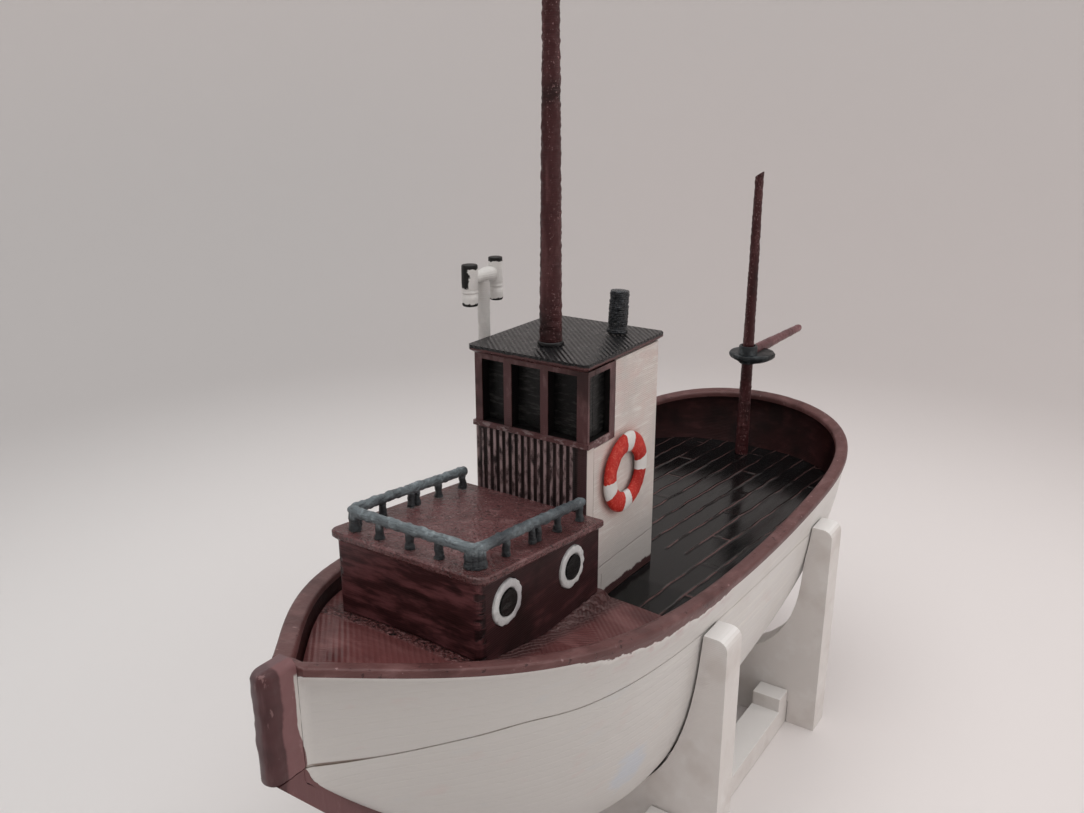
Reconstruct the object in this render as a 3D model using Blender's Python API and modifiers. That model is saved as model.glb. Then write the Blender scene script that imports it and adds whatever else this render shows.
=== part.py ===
"""Painted display model of a wooden fishing boat on its stand.

+X is the bow, +Y is port and +Z is up. The origin is on the floor, in the
middle of the model's length and width. Lengths below are in millimetres.
"""

import math

import bmesh
import bpy
from mathutils import Matrix, Vector

MM = 0.001
GAP = 0.06
# How far a cutter runs past the face that it opens
PAST = 1.0

# Hull, seen from above: the outer edge of the rail
HALF_BEAM = 16.8
WIDEST_X = -10.0
BOW_X = 51.5
STERN_X = -40.4
BOW_FULLNESS = 5.2
BOW_POINT = 1.43
STERN_FULLNESS = 4.1
RAIL_OVERHANG = (0.4, 0.05)

# Hull, seen from the side
LOWEST_SHEER = 31.5
LOWEST_SHEER_X = -5.0
BOW_RISE = 8.0
BOW_RISE_CURVE = 1.9
STERN_RISE = 3.4
KEEL_TOP = 6.6
KEEL_BOTTOM = 5.2
FOREFOOT_X = 15.0
FOREFOOT_RISE = 22.3
FOREFOOT_CURVE = 1.85
HULL_BOW_X = 48.7
TUCK_X = -12.0
TUCK_RISE = 25.0
TUCK_CURVE = 2.6
HULL_STERN_X = -40.35
STEM_BACK_X = 49.1
POST_HALF_WIDTH = 0.95

# Hull sections: the two powers where it is fullest, at the bow and at the stern
MID_SECTION = (2.3, 3.05)
BOW_SECTION = (0.9, 1.6)
STERN_SECTION = (2.35, 1.45)
FULLEST_X = 14.0
BOW_BLEND_END_X = 60.0
STERN_BLEND_END_X = -35.0
TOP_FLARE = 0.78
TOP_FLARE_SHARE = 0.2
TOP_FLARE_X = (-36.0, -16.0)
LOOP_STEPS = 40
HULL_LEVELS = (0.0, 0.012, 0.035, 0.07, 0.12, 0.18, 0.26, 0.35, 0.45, 0.57, 0.7, 0.85, 0.93, 1.0)

# Where the lower and the upper print meet, and the decks
SEAM_Z = 28.0
SEAM_SLOPE = 0.051
DECK_Z = 29.96
DECK_FALL = 0.048
DECK_FLAT_X = 10.0
WALL = 0.85
DECK_CLEARANCE = 0.25
DECK_THICKNESS = 0.85
DECK_STEP_X = 16.0
FOREDECK_BOW_X = 47.4
FOREDECK_CROWN = 0.55
FOREDECK_DROP = 1.7
FOREDECK_AFT_DROP = 0.035
FOREDECK_DROP_X = 36.0
FOREDECK_THICKNESS = 2.2
LEDGE_Z = 32.7
LEDGE_Y = (7.62, 8.3)
LEDGE_X = (16.2, 18.4)
RAIL_WIDTH = 1.5
RAIL_THICKNESS = 0.7
RAIL_ROUND = 0.18

# Stem head and forefoot
STEM_NOSE_X = 51.1
FOREFOOT_TIP_X = 51.6
STEM_FOOT_Z = 30.3
STEM_TOP_Z = 39.35
KEEL_DEPTH = 1.5

# Propeller and rudder
DEADWOOD_AFT_X = -32.4
RUDDER_POST_X = (-35.9, -37.0)
RUDDER_POST_FOOT = 0.5
HEEL_TOP = 6.8
HEEL_END_X = -38.6
SHAFT_Z = 12.6
SHAFT_RADIUS = 0.45
SHAFT_LENGTH = 2.0
HUB_RADIUS = 0.85
HUB_X = (-32.65, -35.2)
BLADE_COUNT = 3
BLADE_RADIUS = 4.4
BLADE_CHORD = 1.5
BLADE_THICKNESS = 0.32
BLADE_PITCH = 38.0
RUDDER_AXIS_X = -37.85
RUDDER_RADIUS = 0.6
RUDDER_Z = (7.0, 19.0)
RUDDER_TRAIL_X = -43.0
STOCK_RADIUS = 0.5
RUN_CLEARANCE = 0.1

# Trunk cabin on the foredeck
TRUNK_X = (18.9, 36.5)
TRUNK_HALF_WIDTH = 7.55
TRUNK_CORNER = 0.6
TRUNK_WALL = 1.0
TRUNK_ROOF_Z = 40.2
TRUNK_ROOF_SLOPE = 0.115
TRUNK_ROOF_FROM_X = 20.0
TRUNK_ROOF_THICKNESS = 0.8
TRUNK_ROOF_OVERHANG = 0.5
# Height above the roof's underside, and how far the edge is drawn in there
TRUNK_ROOF_EDGE = ((0.0, 0.25), (0.3, 0.0), (0.68, 0.0), (0.8, 0.12))
PORTHOLE_X = (33.05, 23.45)
PORTHOLE_DROP = 2.9
PORTHOLE_RADIUS = 1.95
PANE_RADIUS = 1.12
PORTHOLE_PROUD = 0.45
PORTHOLE_SINK = 0.3
PORTHOLE_TAPER = 0.25
PANE_RECESS = 0.2

# Railing on the trunk roof
RAILING_HALF_WIDTH = 6.55
RAILING_X = (20.3, 35.7)
RAILING_CORNER = 0.8
RAILING_HEIGHT = 2.2
RAILING_RADIUS = 0.42
POST_RADIUS = 0.38
RAILING_SIDE_POSTS = (20.6, 24.2, 27.6, 31.7, 35.3)
RAILING_FRONT_POSTS = (-3.2, 0.0, 3.0)

# Wheelhouse
HOUSE_X = (5.75, 18.75)
HOUSE_HALF_WIDTH = 6.18
HOUSE_WALL = 0.6
HOUSE_FOOT_Z = 32.8
ROOF_X = (5.1, 19.5)
ROOF_HALF_WIDTH = 6.5
ROOF_TOP_Z = 54.3
ROOF_THICKNESS = 0.75
ROOF_CHAMFER = 0.45
ROOF_LIP = 0.35
ROOF_CORNER = 0.35
SILL_Z = 46.3
WINDOW_Z = (46.85, 53.45)
WINDOW_HEAD = 0.5
FRONT_WINDOWS = ((-5.38, -2.9), (-2.05, 1.15), (1.95, 5.03))
FRONT_DEPTH = 1.1
CORNER_POST_DEPTH = 0.3
SIDE_WINDOW_X = (14.95, 18.45)
SIDE_FRAME_AFT_X = 14.0
SIDE_FRAME_SILL_Z = 46.1
GLAZING = 0.7
SILL_PROUD = 0.2
RIB_COUNT = 14
RIB_PITCH = 0.71
RIB_DEPTH = 0.22
RIB_TOP_HALF = 0.13
RIB_FOOT_HALF = 0.27
RIB_FIRST_Y = -4.77
# Half width, height, depth, and height of the coaming below it
DOOR = (2.2, 12.5, 0.25, 1.2)

# Things on the wheelhouse
MAST_X = 15.27
MAST_RADII = (1.05, 0.62)
MAST_TOP_Z = 95.9
MAST_RING = (1.3, 0.45)
CHIMNEY_XY = (8.45, 3.1)
CHIMNEY_RADIUS = 0.88
CHIMNEY_HEIGHT = 3.9
CHIMNEY_LEAN = (-3.0, -1.5)
CHIMNEY_COLLAR = (0.15, 0.45)
LAMP_POST_XY = (15.9, -7.15)
LAMP_POST_RADIUS = 0.55
LAMP_POST_Z = (50.4, 59.6)
LAMP_ARM_HALF_WIDTH = 0.45
LAMP_ARM_Z = (50.7, 51.6)
LAMP_BARREL_RADIUS = 0.66
LAMP_Z = (57.55, 61.15)
LAMP_GROOVE = (0.24, 0.1)
LAMPS = (("lamp_fore", 17.95, 0.71), ("lamp_aft", 14.25, 0.62))
LIFEBUOY_XZ = (12.5, 42.25)
LIFEBUOY_RADII = (2.95, 1.0)
LIFEBUOY_FLATNESS = 0.42

# Mizzen mast and boom
MIZZEN_X = -32.7
MIZZEN_RADII = (0.87, 0.53)
MIZZEN_TOP_Z = 66.0
MIZZEN_CUT = 0.7
# The saddle's profile from its foot to its rim: height and radius
SADDLE_PROFILE = ((40.95, 1.9), (41.5, 2.95), (41.65, 3.05), (42.0, 3.05), (42.1, 2.95))
SADDLE_SHIFT = 1.5
COLLAR_TOP_Z = 43.4
COLLAR_WALL = 0.35
BOOM_Z = 42.2
BOOM_START = 1.5
BOOM_RADII = (0.75, 0.52)
BOOM_DROP = 0.5

# Stand
FRAME_X = ((9.9, 13.3), (-19.85, -16.45))
FRAME_HALF_WIDTH = 18.3
FRAME_TOP_Z = (28.0, 27.3)
FRAME_ROUND = 1.1
CRADLE_CLEARANCE = 0.12
CRADLE_FLOOR_Z = 4.9
# The rear frame's cut-out is wider than the hull: half width, top, and its two powers
REAR_CRADLE = (15.25, 28.0, 4.2, 1.8)
BAR_Y = (11.1, 14.7)
BAR_HEIGHT = 2.9
BLOCK_LENGTH = 2.6
BLOCK_TOP_Z = (6.6, 4.7)

COLOURS = {
    "hull_white": ((0.74, 0.72, 0.68, 1.0), 0.45),
    "oxblood": ((0.10, 0.028, 0.028, 1.0), 0.5),
    "deck_black": ((0.012, 0.012, 0.013, 1.0), 0.4),
    "rail_grey": ((0.075, 0.095, 0.105, 1.0), 0.5),
    "iron_grey": ((0.035, 0.045, 0.052, 1.0), 0.5),
    "buoy_red": ((0.62, 0.045, 0.025, 1.0), 0.45),
    "stand_white": ((0.72, 0.69, 0.67, 1.0), 0.5),
}

for old in list(bpy.data.objects):
    bpy.data.objects.remove(old)
PARTS = bpy.data.collections.new("fishing_boat")
CUTTERS = bpy.data.collections.new("cutters")
for collection in (PARTS, CUTTERS):
    bpy.context.scene.collection.children.link(collection)


def material(name):
    """The paint of this name, made once."""
    found = bpy.data.materials.get(name)
    if found:
        return found
    colour, roughness = COLOURS[name]
    made = bpy.data.materials.new(name)
    made.use_nodes = True
    shader = made.node_tree.nodes["Principled BSDF"]
    shader.inputs["Base Color"].default_value = colour
    shader.inputs["Roughness"].default_value = roughness
    shader.inputs["Metallic"].default_value = 0.0
    return made


def add(name, bm, paint, place=(0, 0, 0)):
    """The object for a mesh given in millimetres, with its origin at place."""
    bmesh.ops.translate(bm, verts=bm.verts, vec=-Vector(place))
    bmesh.ops.scale(bm, verts=bm.verts, vec=(MM, MM, MM))
    bmesh.ops.recalc_face_normals(bm, faces=bm.faces)
    mesh = bpy.data.meshes.new(name)
    bm.to_mesh(mesh)
    bm.free()
    obj = bpy.data.objects.new(name, mesh)
    obj.location = Vector(place) * MM
    if paint is None:
        CUTTERS.objects.link(obj)
        obj.hide_render = True
        obj.display_type = "WIRE"
        return obj
    PARTS.objects.link(obj)
    mesh.materials.append(material(paint))
    mesh.shade_smooth()
    mesh.set_sharp_from_angle(angle=math.radians(35))
    return obj


def combine(obj, other, operation="DIFFERENCE"):
    """Cuts the helper from the object, or joins it to it."""
    modifier = obj.modifiers.new(other.name, "BOOLEAN")
    modifier.operation = operation
    modifier.object = other


def box(low, high):
    bm = bmesh.new()
    size = Vector(high) - Vector(low)
    middle = (Vector(high) + Vector(low)) / 2
    bmesh.ops.create_cube(bm, matrix=Matrix.Translation(middle) @ Matrix.Diagonal((*size, 1)))
    return bm


def torus(radii, sides):
    """A ring lying flat at the origin."""
    bpy.ops.mesh.primitive_torus_add(
        major_radius=radii[0], minor_radius=radii[1], major_segments=sides[0], minor_segments=sides[1]
    )
    holder = bpy.context.object
    bm = bmesh.new()
    bm.from_mesh(holder.data)
    bpy.data.objects.remove(holder)
    return bm


def round_bar(start, end, radii, sides=24):
    """A cylinder or cone from start to end."""
    start = Vector(start)
    along = Vector(end) - start
    turn = Vector((0, 0, 1)).rotation_difference(along).to_matrix().to_4x4()
    bm = bmesh.new()
    bmesh.ops.create_cone(
        bm,
        cap_ends=True,
        segments=sides,
        radius1=radii[0],
        radius2=radii[1],
        depth=along.length,
        matrix=Matrix.Translation(start + along / 2) @ turn,
    )
    return bm


def merged(*pieces):
    """One mesh of pieces that stay apart, for a cutter."""
    whole = pieces[0]
    for piece in pieces[1:]:
        mesh = bpy.data.meshes.new("piece")
        piece.to_mesh(mesh)
        piece.free()
        whole.from_mesh(mesh)
        bpy.data.meshes.remove(mesh)
    return whole


def plate(outline, low, high, axis):
    """A flat outline filled and carried from low to high along an axis.

    The outline's two numbers are the other axes, in X, Y, Z order.
    """
    curve = bpy.data.curves.new("outline", "CURVE")
    curve.dimensions = "2D"
    curve.fill_mode = "BOTH"
    curve.extrude = (high - low) / 2
    spline = curve.splines.new("POLY")
    spline.points.add(len(outline) - 1)
    for point, (u, v) in zip(spline.points, outline):
        point.co = (u, v, 0, 1)
    spline.use_cyclic_u = True
    holder = bpy.data.objects.new("outline", curve)
    bpy.context.scene.collection.objects.link(holder)
    bpy.context.view_layer.update()
    graph = bpy.context.evaluated_depsgraph_get()
    mesh = bpy.data.meshes.new_from_object(holder.evaluated_get(graph))
    bm = bmesh.new()
    bm.from_mesh(mesh)
    bpy.data.meshes.remove(mesh)
    bpy.data.objects.remove(holder)
    bmesh.ops.remove_doubles(bm, verts=bm.verts, dist=0.001)
    middle = (low + high) / 2
    for vert in bm.verts:
        u, v, w = vert.co
        place = [u, v]
        place.insert("XYZ".index(axis), w + middle)
        vert.co = place
    return bm


def stack(loops):
    """Closed loops of equal length laid on each other, with both ends closed."""
    bm = bmesh.new()
    rows = [[bm.verts.new(point) for point in loop] for loop in loops]
    count = len(loops[0])
    for lower, upper in zip(rows, rows[1:]):
        for i in range(count):
            j = (i + 1) % count
            bm.faces.new((lower[i], lower[j], upper[j], upper[i]))
    bm.faces.new(rows[0])
    bm.faces.new(rows[-1])
    return bm


def ring(columns):
    """Closed profiles of equal length carried round a closed path."""
    bm = bmesh.new()
    rows = [[bm.verts.new(point) for point in column] for column in columns]
    count = len(columns[0])
    for k, row in enumerate(rows):
        following = rows[(k + 1) % len(rows)]
        for i in range(count):
            j = (i + 1) % count
            bm.faces.new((row[i], row[j], following[j], following[i]))
    return bm


def bisect(function, low, high):
    """Where the function crosses zero between low and high."""
    positive = function(low) > 0
    for _ in range(40):
        middle = (low + high) / 2
        if (function(middle) > 0) == positive:
            low = middle
        else:
            high = middle
    return (low + high) / 2


# The hull's lines


def sheer(x):
    """Height of the rail's top."""
    if x > LOWEST_SHEER_X:
        share = (x - LOWEST_SHEER_X) / (BOW_X - LOWEST_SHEER_X)
        return LOWEST_SHEER + BOW_RISE * share**BOW_RISE_CURVE
    return LOWEST_SHEER + STERN_RISE * ((LOWEST_SHEER_X - x) / (LOWEST_SHEER_X - STERN_X)) ** 2


def plan(x, inset):
    """Half breadth at the rail, moved in from the rail's outer edge."""
    beam = HALF_BEAM - inset
    if x > WIDEST_X:
        t = min(1.0, (x - WIDEST_X) / (BOW_X - inset - WIDEST_X))
        return beam * (1 - t**BOW_FULLNESS) ** BOW_POINT
    t = min(1.0, (WIDEST_X - x) / (WIDEST_X - STERN_X - inset))
    return beam * math.sqrt(1 - t**STERN_FULLNESS)


def keel_line(x, skin=0.0):
    """Height of the hull's bottom at the centre line, skin inside its surface."""
    if x > FOREFOOT_X:
        t = (x - FOREFOOT_X) / (HULL_BOW_X - FOREFOOT_X - skin)
        return KEEL_TOP + skin + FOREFOOT_RISE * t**FOREFOOT_CURVE
    if x < TUCK_X:
        t = (TUCK_X - x) / (TUCK_X - HULL_STERN_X - skin)
        return KEEL_TOP + skin + TUCK_RISE * t**TUCK_CURVE
    return KEEL_TOP + skin


def ease(value, start, end):
    """A smooth step from 0 at start to 1 at end."""
    t = min(1.0, max(0.0, (value - start) / (end - start)))
    return t * t * (3 - 2 * t)


def section_shape(x):
    """The two powers of the section, blended from the fullest one to the bow or the stern."""
    if x > FULLEST_X:
        blend = ease(x, FULLEST_X, BOW_BLEND_END_X)
        end = BOW_SECTION
    else:
        blend = ease(x, FULLEST_X, STERN_BLEND_END_X)
        end = STERN_SECTION
    return [mid + (far - mid) * blend for mid, far in zip(MID_SECTION, end)]


def overhang(x):
    """How far the hull's top lies inside the rail's outer edge."""
    bow, stern = RAIL_OVERHANG
    return stern + (bow - stern) * (x - STERN_X) / (BOW_X - STERN_X)


def breadth(x, z, skin=0.0):
    """Half breadth of the hull at x and z, skin inside its surface."""
    least = max(0.1, POST_HALF_WIDTH - 0.65 * skin)
    bottom = keel_line(x, skin)
    depth = (sheer(x) - z) / max(0.01, sheer(x) - bottom)
    depth = min(1.0, max(0.0, depth))
    flare = TOP_FLARE * ease(depth, 0.0, TOP_FLARE_SHARE) * ease(x, *TOP_FLARE_X)
    top = max(least, plan(x, overhang(x) + skin) - flare)
    power, root = section_shape(x)
    return least + (top - least) * (1 - depth**power) ** (1 / root)


def level_ends(level, skin=0.0):
    """Where a level meets the bow and the stern."""
    bow = STEM_BACK_X - GAP - skin
    stern = HULL_STERN_X + skin
    if keel_line(bow, skin) > level(bow):
        bow = bisect(lambda x: keel_line(x, skin) - level(x), FOREFOOT_X, bow)
    if keel_line(stern, skin) > level(stern):
        stern = bisect(lambda x: keel_line(x, skin) - level(x), TUCK_X, stern)
    return bow, stern


def level_loop(level, skin=0.0):
    """The hull's outline at a level: port from bow to stern, then starboard back."""
    bow, stern = level_ends(level, skin)
    port = []
    for i in range(LOOP_STEPS + 1):
        x = (bow + stern) / 2 + (bow - stern) / 2 * math.cos(math.pi * i / LOOP_STEPS)
        port.append((x, breadth(x, level(x), skin), level(x)))
    return port + [(x, -y, z) for x, y, z in reversed(port)]


def seam(x):
    """Height where the lower hull ends and the topsides begin."""
    return SEAM_Z + (x - FULLEST_X) * SEAM_SLOPE


def main_deck_top(x):
    return DECK_Z + min(0.0, (x - DECK_FLAT_X) * DECK_FALL)


def foredeck_side(x):
    """Height of the foredeck at the bulwark."""
    return sheer(x) - FOREDECK_DROP - FOREDECK_AFT_DROP * max(0.0, FOREDECK_DROP_X - x)


def foredeck_top(x, y):
    """The crowned foredeck, with the level ledge that the trunk stands on."""
    half = breadth(x, foredeck_side(x), WALL + DECK_CLEARANCE)
    top = foredeck_side(x) + FOREDECK_CROWN * max(0.0, 1 - (y / half) ** 2)
    lift = max(0.0, LEDGE_Z - top) * ease(x, *LEDGE_X)
    return top + lift * (1 - ease(abs(y), *LEDGE_Y))


def trunk_roof_top(x):
    return TRUNK_ROOF_Z + TRUNK_ROOF_SLOPE * (x - TRUNK_ROOF_FROM_X)


# Pieces of the hull


def build_lower_hull():
    loops = []
    for share in HULL_LEVELS:
        low = KEEL_TOP + 0.05
        loops.append(level_loop(lambda x, s=share: low + (seam(x) - low) * s))
    add("hull_lower", stack(loops), "hull_white")


def build_topsides():
    shares = (0.0, 0.17, 0.34, 0.51, 0.68, 0.84, 1.0)

    def loop(share, skin):
        def level(x):
            low = seam(x) + GAP
            return low + (sheer(x) - RAIL_THICKNESS - GAP - low) * share

        return level_loop(level, skin)

    outer = [loop(share, 0.0) for share in shares]
    inner = [loop(share, WALL) for share in reversed(shares)]
    add("topsides", ring(list(zip(*outer, *inner))), "hull_white")


def rail_outline():
    """The rail's port outer edge from the bow to the stern, with its inward normals."""
    bow = STEM_BACK_X - GAP
    edge = []
    for i in range(LOOP_STEPS + 1):
        x = (bow + STERN_X) / 2 + (bow - STERN_X) / 2 * math.cos(math.pi * i / LOOP_STEPS)
        edge.append(Vector((x, plan(x, 0))))
    normals = []
    for i, point in enumerate(edge):
        before = edge[i - 1] if i else point
        after = edge[i + 1] if i < LOOP_STEPS else Vector((point.x, -edge[i - 1].y))
        along = (after - before).normalized()
        normals.append(Vector((along.y, -along.x)) * -1)
    normals[-1] = Vector((1, 0))
    return edge, normals


def build_rail():
    """The rail cap: a flat strip with rounded edges, closed round the hull."""
    columns = []
    for point, normal in zip(*rail_outline()):
        column = []
        for inset, drop in (
            (0.0, RAIL_THICKNESS), (0.0, RAIL_ROUND), (RAIL_ROUND, 0.0),
            (RAIL_WIDTH - RAIL_ROUND, 0.0), (RAIL_WIDTH, RAIL_ROUND), (RAIL_WIDTH, RAIL_THICKNESS),
        ):
            place = point + normal * inset
            column.append((place.x, max(0.0, place.y), sheer(place.x) - drop))
        columns.append(column)
    mirrored = [[(x, -y, z) for x, y, z in column] for column in reversed(columns[:-1])]
    add("rail_cap", ring(columns + mirrored), "oxblood")


def deck_sections(stations, top, skin, depth):
    """Sections of a deck slab, as deep as given but no lower than the seam."""
    loops = []
    for x in stations:
        wide = breadth(x, top(x, HALF_BEAM), skin)
        low = max(seam(x) + GAP, top(x, HALF_BEAM) - depth)
        rise = top(x, wide) - low
        levels = [low + rise * share for share in (0.0, 0.25, 0.5, 0.75)]
        edge = [(x, breadth(x, z, skin), z) for z in levels]
        ledge = [min(y, share * wide) for y, share in zip(reversed(LEDGE_Y), (0.8, 0.7))]
        side = [wide, 0.9 * wide] + ledge + [0.5 * ledge[1]]
        across = side + [0.0] + [-y for y in reversed(side)]
        starboard = [(x, -y, z) for x, y, z in reversed(edge)]
        loops.append(starboard + edge + [(x, y, top(x, y)) for y in across])
    return loops


def build_decks():
    skin = WALL + DECK_CLEARANCE
    stern = level_ends(lambda x: main_deck_top(x) - DECK_THICKNESS, skin)[1] + GAP
    count = 18
    stations = [
        stern + (DECK_STEP_X - GAP - stern) * (1 - math.cos(math.pi / 2 * i / count))
        for i in range(count + 1)
    ]
    sections = deck_sections(stations, lambda x, y: main_deck_top(x), skin, DECK_THICKNESS)
    add("main_deck", stack(sections), "deck_black")
    count = 32
    stations = [DECK_STEP_X + (FOREDECK_BOW_X - DECK_STEP_X) * i / count for i in range(count + 1)]
    add("foredeck", stack(deck_sections(stations, foredeck_top, skin, FOREDECK_THICKNESS)), "oxblood")


def build_stem():
    """The stem head: a bar with a round nose."""
    half = POST_HALF_WIDTH
    outline = [(STEM_BACK_X, -half), (STEM_NOSE_X, -half)]
    for i in range(1, 12):
        angle = math.pi * (i / 12 - 0.5)
        outline.append((STEM_NOSE_X + half * math.cos(angle), half * math.sin(angle)))
    outline += [(STEM_NOSE_X, half), (STEM_BACK_X, half)]
    stem = add("stem", plate(outline, STEM_FOOT_Z, STEM_TOP_Z, "Z"), "oxblood")
    bevel = stem.modifiers.new("soft_edges", "BEVEL")
    bevel.width = 0.2 * MM
    bevel.segments = 2


def keel_outline():
    """Side view of the keel, forefoot, deadwood, heel and rudder post."""
    steps = 16
    rabbet = []
    for i in range(steps + 1):
        x = FOREFOOT_X + (HULL_BOW_X - FOREFOOT_X) * i / steps
        rabbet.append((x, keel_line(x)))
    outside = []
    for (x0, z0), (x1, z1) in zip(rabbet, rabbet[1:]):
        along = Vector((x1 - x0, z1 - z0)).normalized()
        outside.append((x0 + along.y * KEEL_DEPTH, z0 - along.x * KEEL_DEPTH))
    front = [(FOREFOOT_TIP_X, STEM_FOOT_Z - GAP), (STEM_BACK_X, STEM_FOOT_Z - GAP)]
    inside = [(x, z - GAP) for x, z in reversed(rabbet)]
    inside[0] = (STEM_BACK_X - GAP, keel_line(HULL_BOW_X))
    deadwood = []
    for i in range(steps + 1):
        x = TUCK_X + (DEADWOOD_AFT_X - TUCK_X) * i / steps
        deadwood.append((x, keel_line(x) - GAP))
    post_front, post_aft = RUDDER_POST_X
    tail = [
        (DEADWOOD_AFT_X, HEEL_TOP), (post_front, HEEL_TOP),
        (post_front, keel_line(post_front) - GAP), (post_aft, keel_line(post_aft) - GAP - RUDDER_POST_FOOT),
        (post_aft, HEEL_TOP), (HEEL_END_X, HEEL_TOP), (HEEL_END_X, KEEL_BOTTOM),
    ]
    return outside + front + inside + deadwood + tail


def build_keel():
    keel = add("keel", plate(keel_outline(), -POST_HALF_WIDTH, POST_HALF_WIDTH, "Y"), "oxblood")
    bore = round_bar(
        (DEADWOOD_AFT_X + SHAFT_LENGTH, 0, SHAFT_Z), (DEADWOOD_AFT_X - PAST, 0, SHAFT_Z),
        (SHAFT_RADIUS + RUN_CLEARANCE,) * 2,
    )
    combine(keel, add("shaft_bore", bore, None))


def build_propeller():
    place = (DEADWOOD_AFT_X, 0, SHAFT_Z)
    shaft_start = (DEADWOOD_AFT_X + SHAFT_LENGTH - RUN_CLEARANCE, 0, SHAFT_Z)
    shaft = round_bar(shaft_start, (sum(HUB_X) / 2, 0, SHAFT_Z), (SHAFT_RADIUS,) * 2)
    propeller = add("propeller", shaft, "iron_grey", place)
    hub = round_bar((HUB_X[0], 0, SHAFT_Z), (HUB_X[1], 0, SHAFT_Z), (HUB_RADIUS, HUB_RADIUS * 0.7))
    combine(propeller, add("propeller_hub", hub, None), "UNION")
    middle = (HUB_X[0] + HUB_X[1]) / 2
    half = BLADE_RADIUS / 2
    for i in range(BLADE_COUNT):
        bm = bmesh.new()
        spin = Matrix.Rotation(math.tau * i / BLADE_COUNT, 4, "X")
        pitch = Matrix.Rotation(math.radians(BLADE_PITCH), 4, "Z")
        size = Matrix.Diagonal((BLADE_THICKNESS, BLADE_CHORD, half, 1))
        lift = Matrix.Translation((0, 0, half))
        centre = Matrix.Translation((middle, 0, SHAFT_Z))
        bmesh.ops.create_uvsphere(
            bm, u_segments=16, v_segments=10, radius=1.0, matrix=centre @ spin @ lift @ pitch @ size
        )
        combine(propeller, add(f"propeller_blade_{i}", bm, None), "UNION")


def build_rudder():
    place = (RUDDER_AXIS_X, 0, RUDDER_Z[0])
    low, high = RUDDER_Z
    nose = round_bar((RUDDER_AXIS_X, 0, low), (RUDDER_AXIS_X, 0, high), (RUDDER_RADIUS,) * 2)
    rudder = add("rudder", nose, "oxblood", place)
    outline = (
        (RUDDER_AXIS_X, low), (RUDDER_TRAIL_X + 0.8, low), (RUDDER_TRAIL_X, low + 1.5),
        (RUDDER_TRAIL_X + 0.6, high - 2.5), (RUDDER_AXIS_X - 1.6, high), (RUDDER_AXIS_X, high),
    )
    blade = plate(outline, -RUDDER_RADIUS * 0.7, RUDDER_RADIUS * 0.7, "Y")
    combine(rudder, add("rudder_blade", blade, None), "UNION")
    stock_top = keel_line(RUDDER_AXIS_X + STOCK_RADIUS) - RUN_CLEARANCE
    stock = round_bar((RUDDER_AXIS_X, 0, high - 1), (RUDDER_AXIS_X, 0, stock_top), (STOCK_RADIUS,) * 2)
    combine(rudder, add("rudder_stock", stock, None), "UNION")


# Trunk cabin


def trunk_path(inset, steps=5):
    """The trunk wall's plan from its port aft end round the front to starboard."""
    front = TRUNK_X[1] - inset
    side = TRUNK_HALF_WIDTH - inset
    radius = max(0.15, TRUNK_CORNER - inset)
    path = [(TRUNK_X[0] + (front - radius - TRUNK_X[0]) * i / 8, side) for i in range(8)]
    for i in range(steps + 1):
        angle = math.pi / 2 * (1 - i / steps)
        path.append((front - radius + radius * math.cos(angle), side - radius + radius * math.sin(angle)))
    path += [(front, side * 0.6), (front, side * 0.3), (front, 0.0)]
    return path + [(x, -y) for x, y in reversed(path[:-1])]


def build_trunk():
    loops = []
    for outer, inner in zip(trunk_path(0.0), trunk_path(TRUNK_WALL)):
        loops.append([
            (*outer, foredeck_top(*outer) + GAP),
            (*outer, trunk_roof_top(outer[0]) - TRUNK_ROOF_THICKNESS - GAP),
            (*inner, trunk_roof_top(inner[0]) - TRUNK_ROOF_THICKNESS - GAP),
            (*inner, foredeck_top(*inner) + GAP),
        ])
    walls = add("trunk_walls", stack(loops), "oxblood")
    for side in (-1, 1):
        for i, x in enumerate(PORTHOLE_X):
            z = porthole_height(x)
            face = side * TRUNK_HALF_WIDTH
            seat = round_bar(
                (x, face - side * (PORTHOLE_SINK + GAP), z), (x, face + side * PAST, z),
                (PORTHOLE_RADIUS + GAP,) * 2, 32,
            )
            combine(walls, add(f"porthole_seat_{side}_{i}", seat, None))
    outline = trunk_path(-TRUNK_ROOF_OVERHANG)
    loops = []
    for level, less in TRUNK_ROOF_EDGE:
        drop = TRUNK_ROOF_THICKNESS - level
        loops.append([
            (x - less * (x > TRUNK_X[1]), y - math.copysign(less, y), trunk_roof_top(x) - drop)
            for x, y in outline
        ])
    add("trunk_roof", stack(loops), "oxblood")


def porthole_height(x):
    return trunk_roof_top(x) - PORTHOLE_DROP - TRUNK_ROOF_THICKNESS / 2


def build_portholes():
    for side, side_name in ((1, "port"), (-1, "starboard")):
        for x, end in zip(PORTHOLE_X, ("fore", "aft")):
            z = porthole_height(x)
            back = side * (TRUNK_HALF_WIDTH - PORTHOLE_SINK)
            face = side * (TRUNK_HALF_WIDTH + PORTHOLE_PROUD)
            rim = add(
                f"porthole_rim_{side_name}_{end}",
                round_bar((x, back, z), (x, face, z), (PORTHOLE_RADIUS, PORTHOLE_RADIUS - PORTHOLE_TAPER), 32),
                "hull_white",
            )
            hole = round_bar(
                (x, back - side * PAST, z), (x, face + side * PAST, z), (PANE_RADIUS + GAP / 2,) * 2, 24
            )
            combine(rim, add(f"porthole_hole_{side_name}_{end}", hole, None))
            pane = round_bar((x, back, z), (x, face - side * PANE_RECESS, z), (PANE_RADIUS,) * 2, 24)
            add(f"porthole_pane_{side_name}_{end}", pane, "deck_black")


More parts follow.
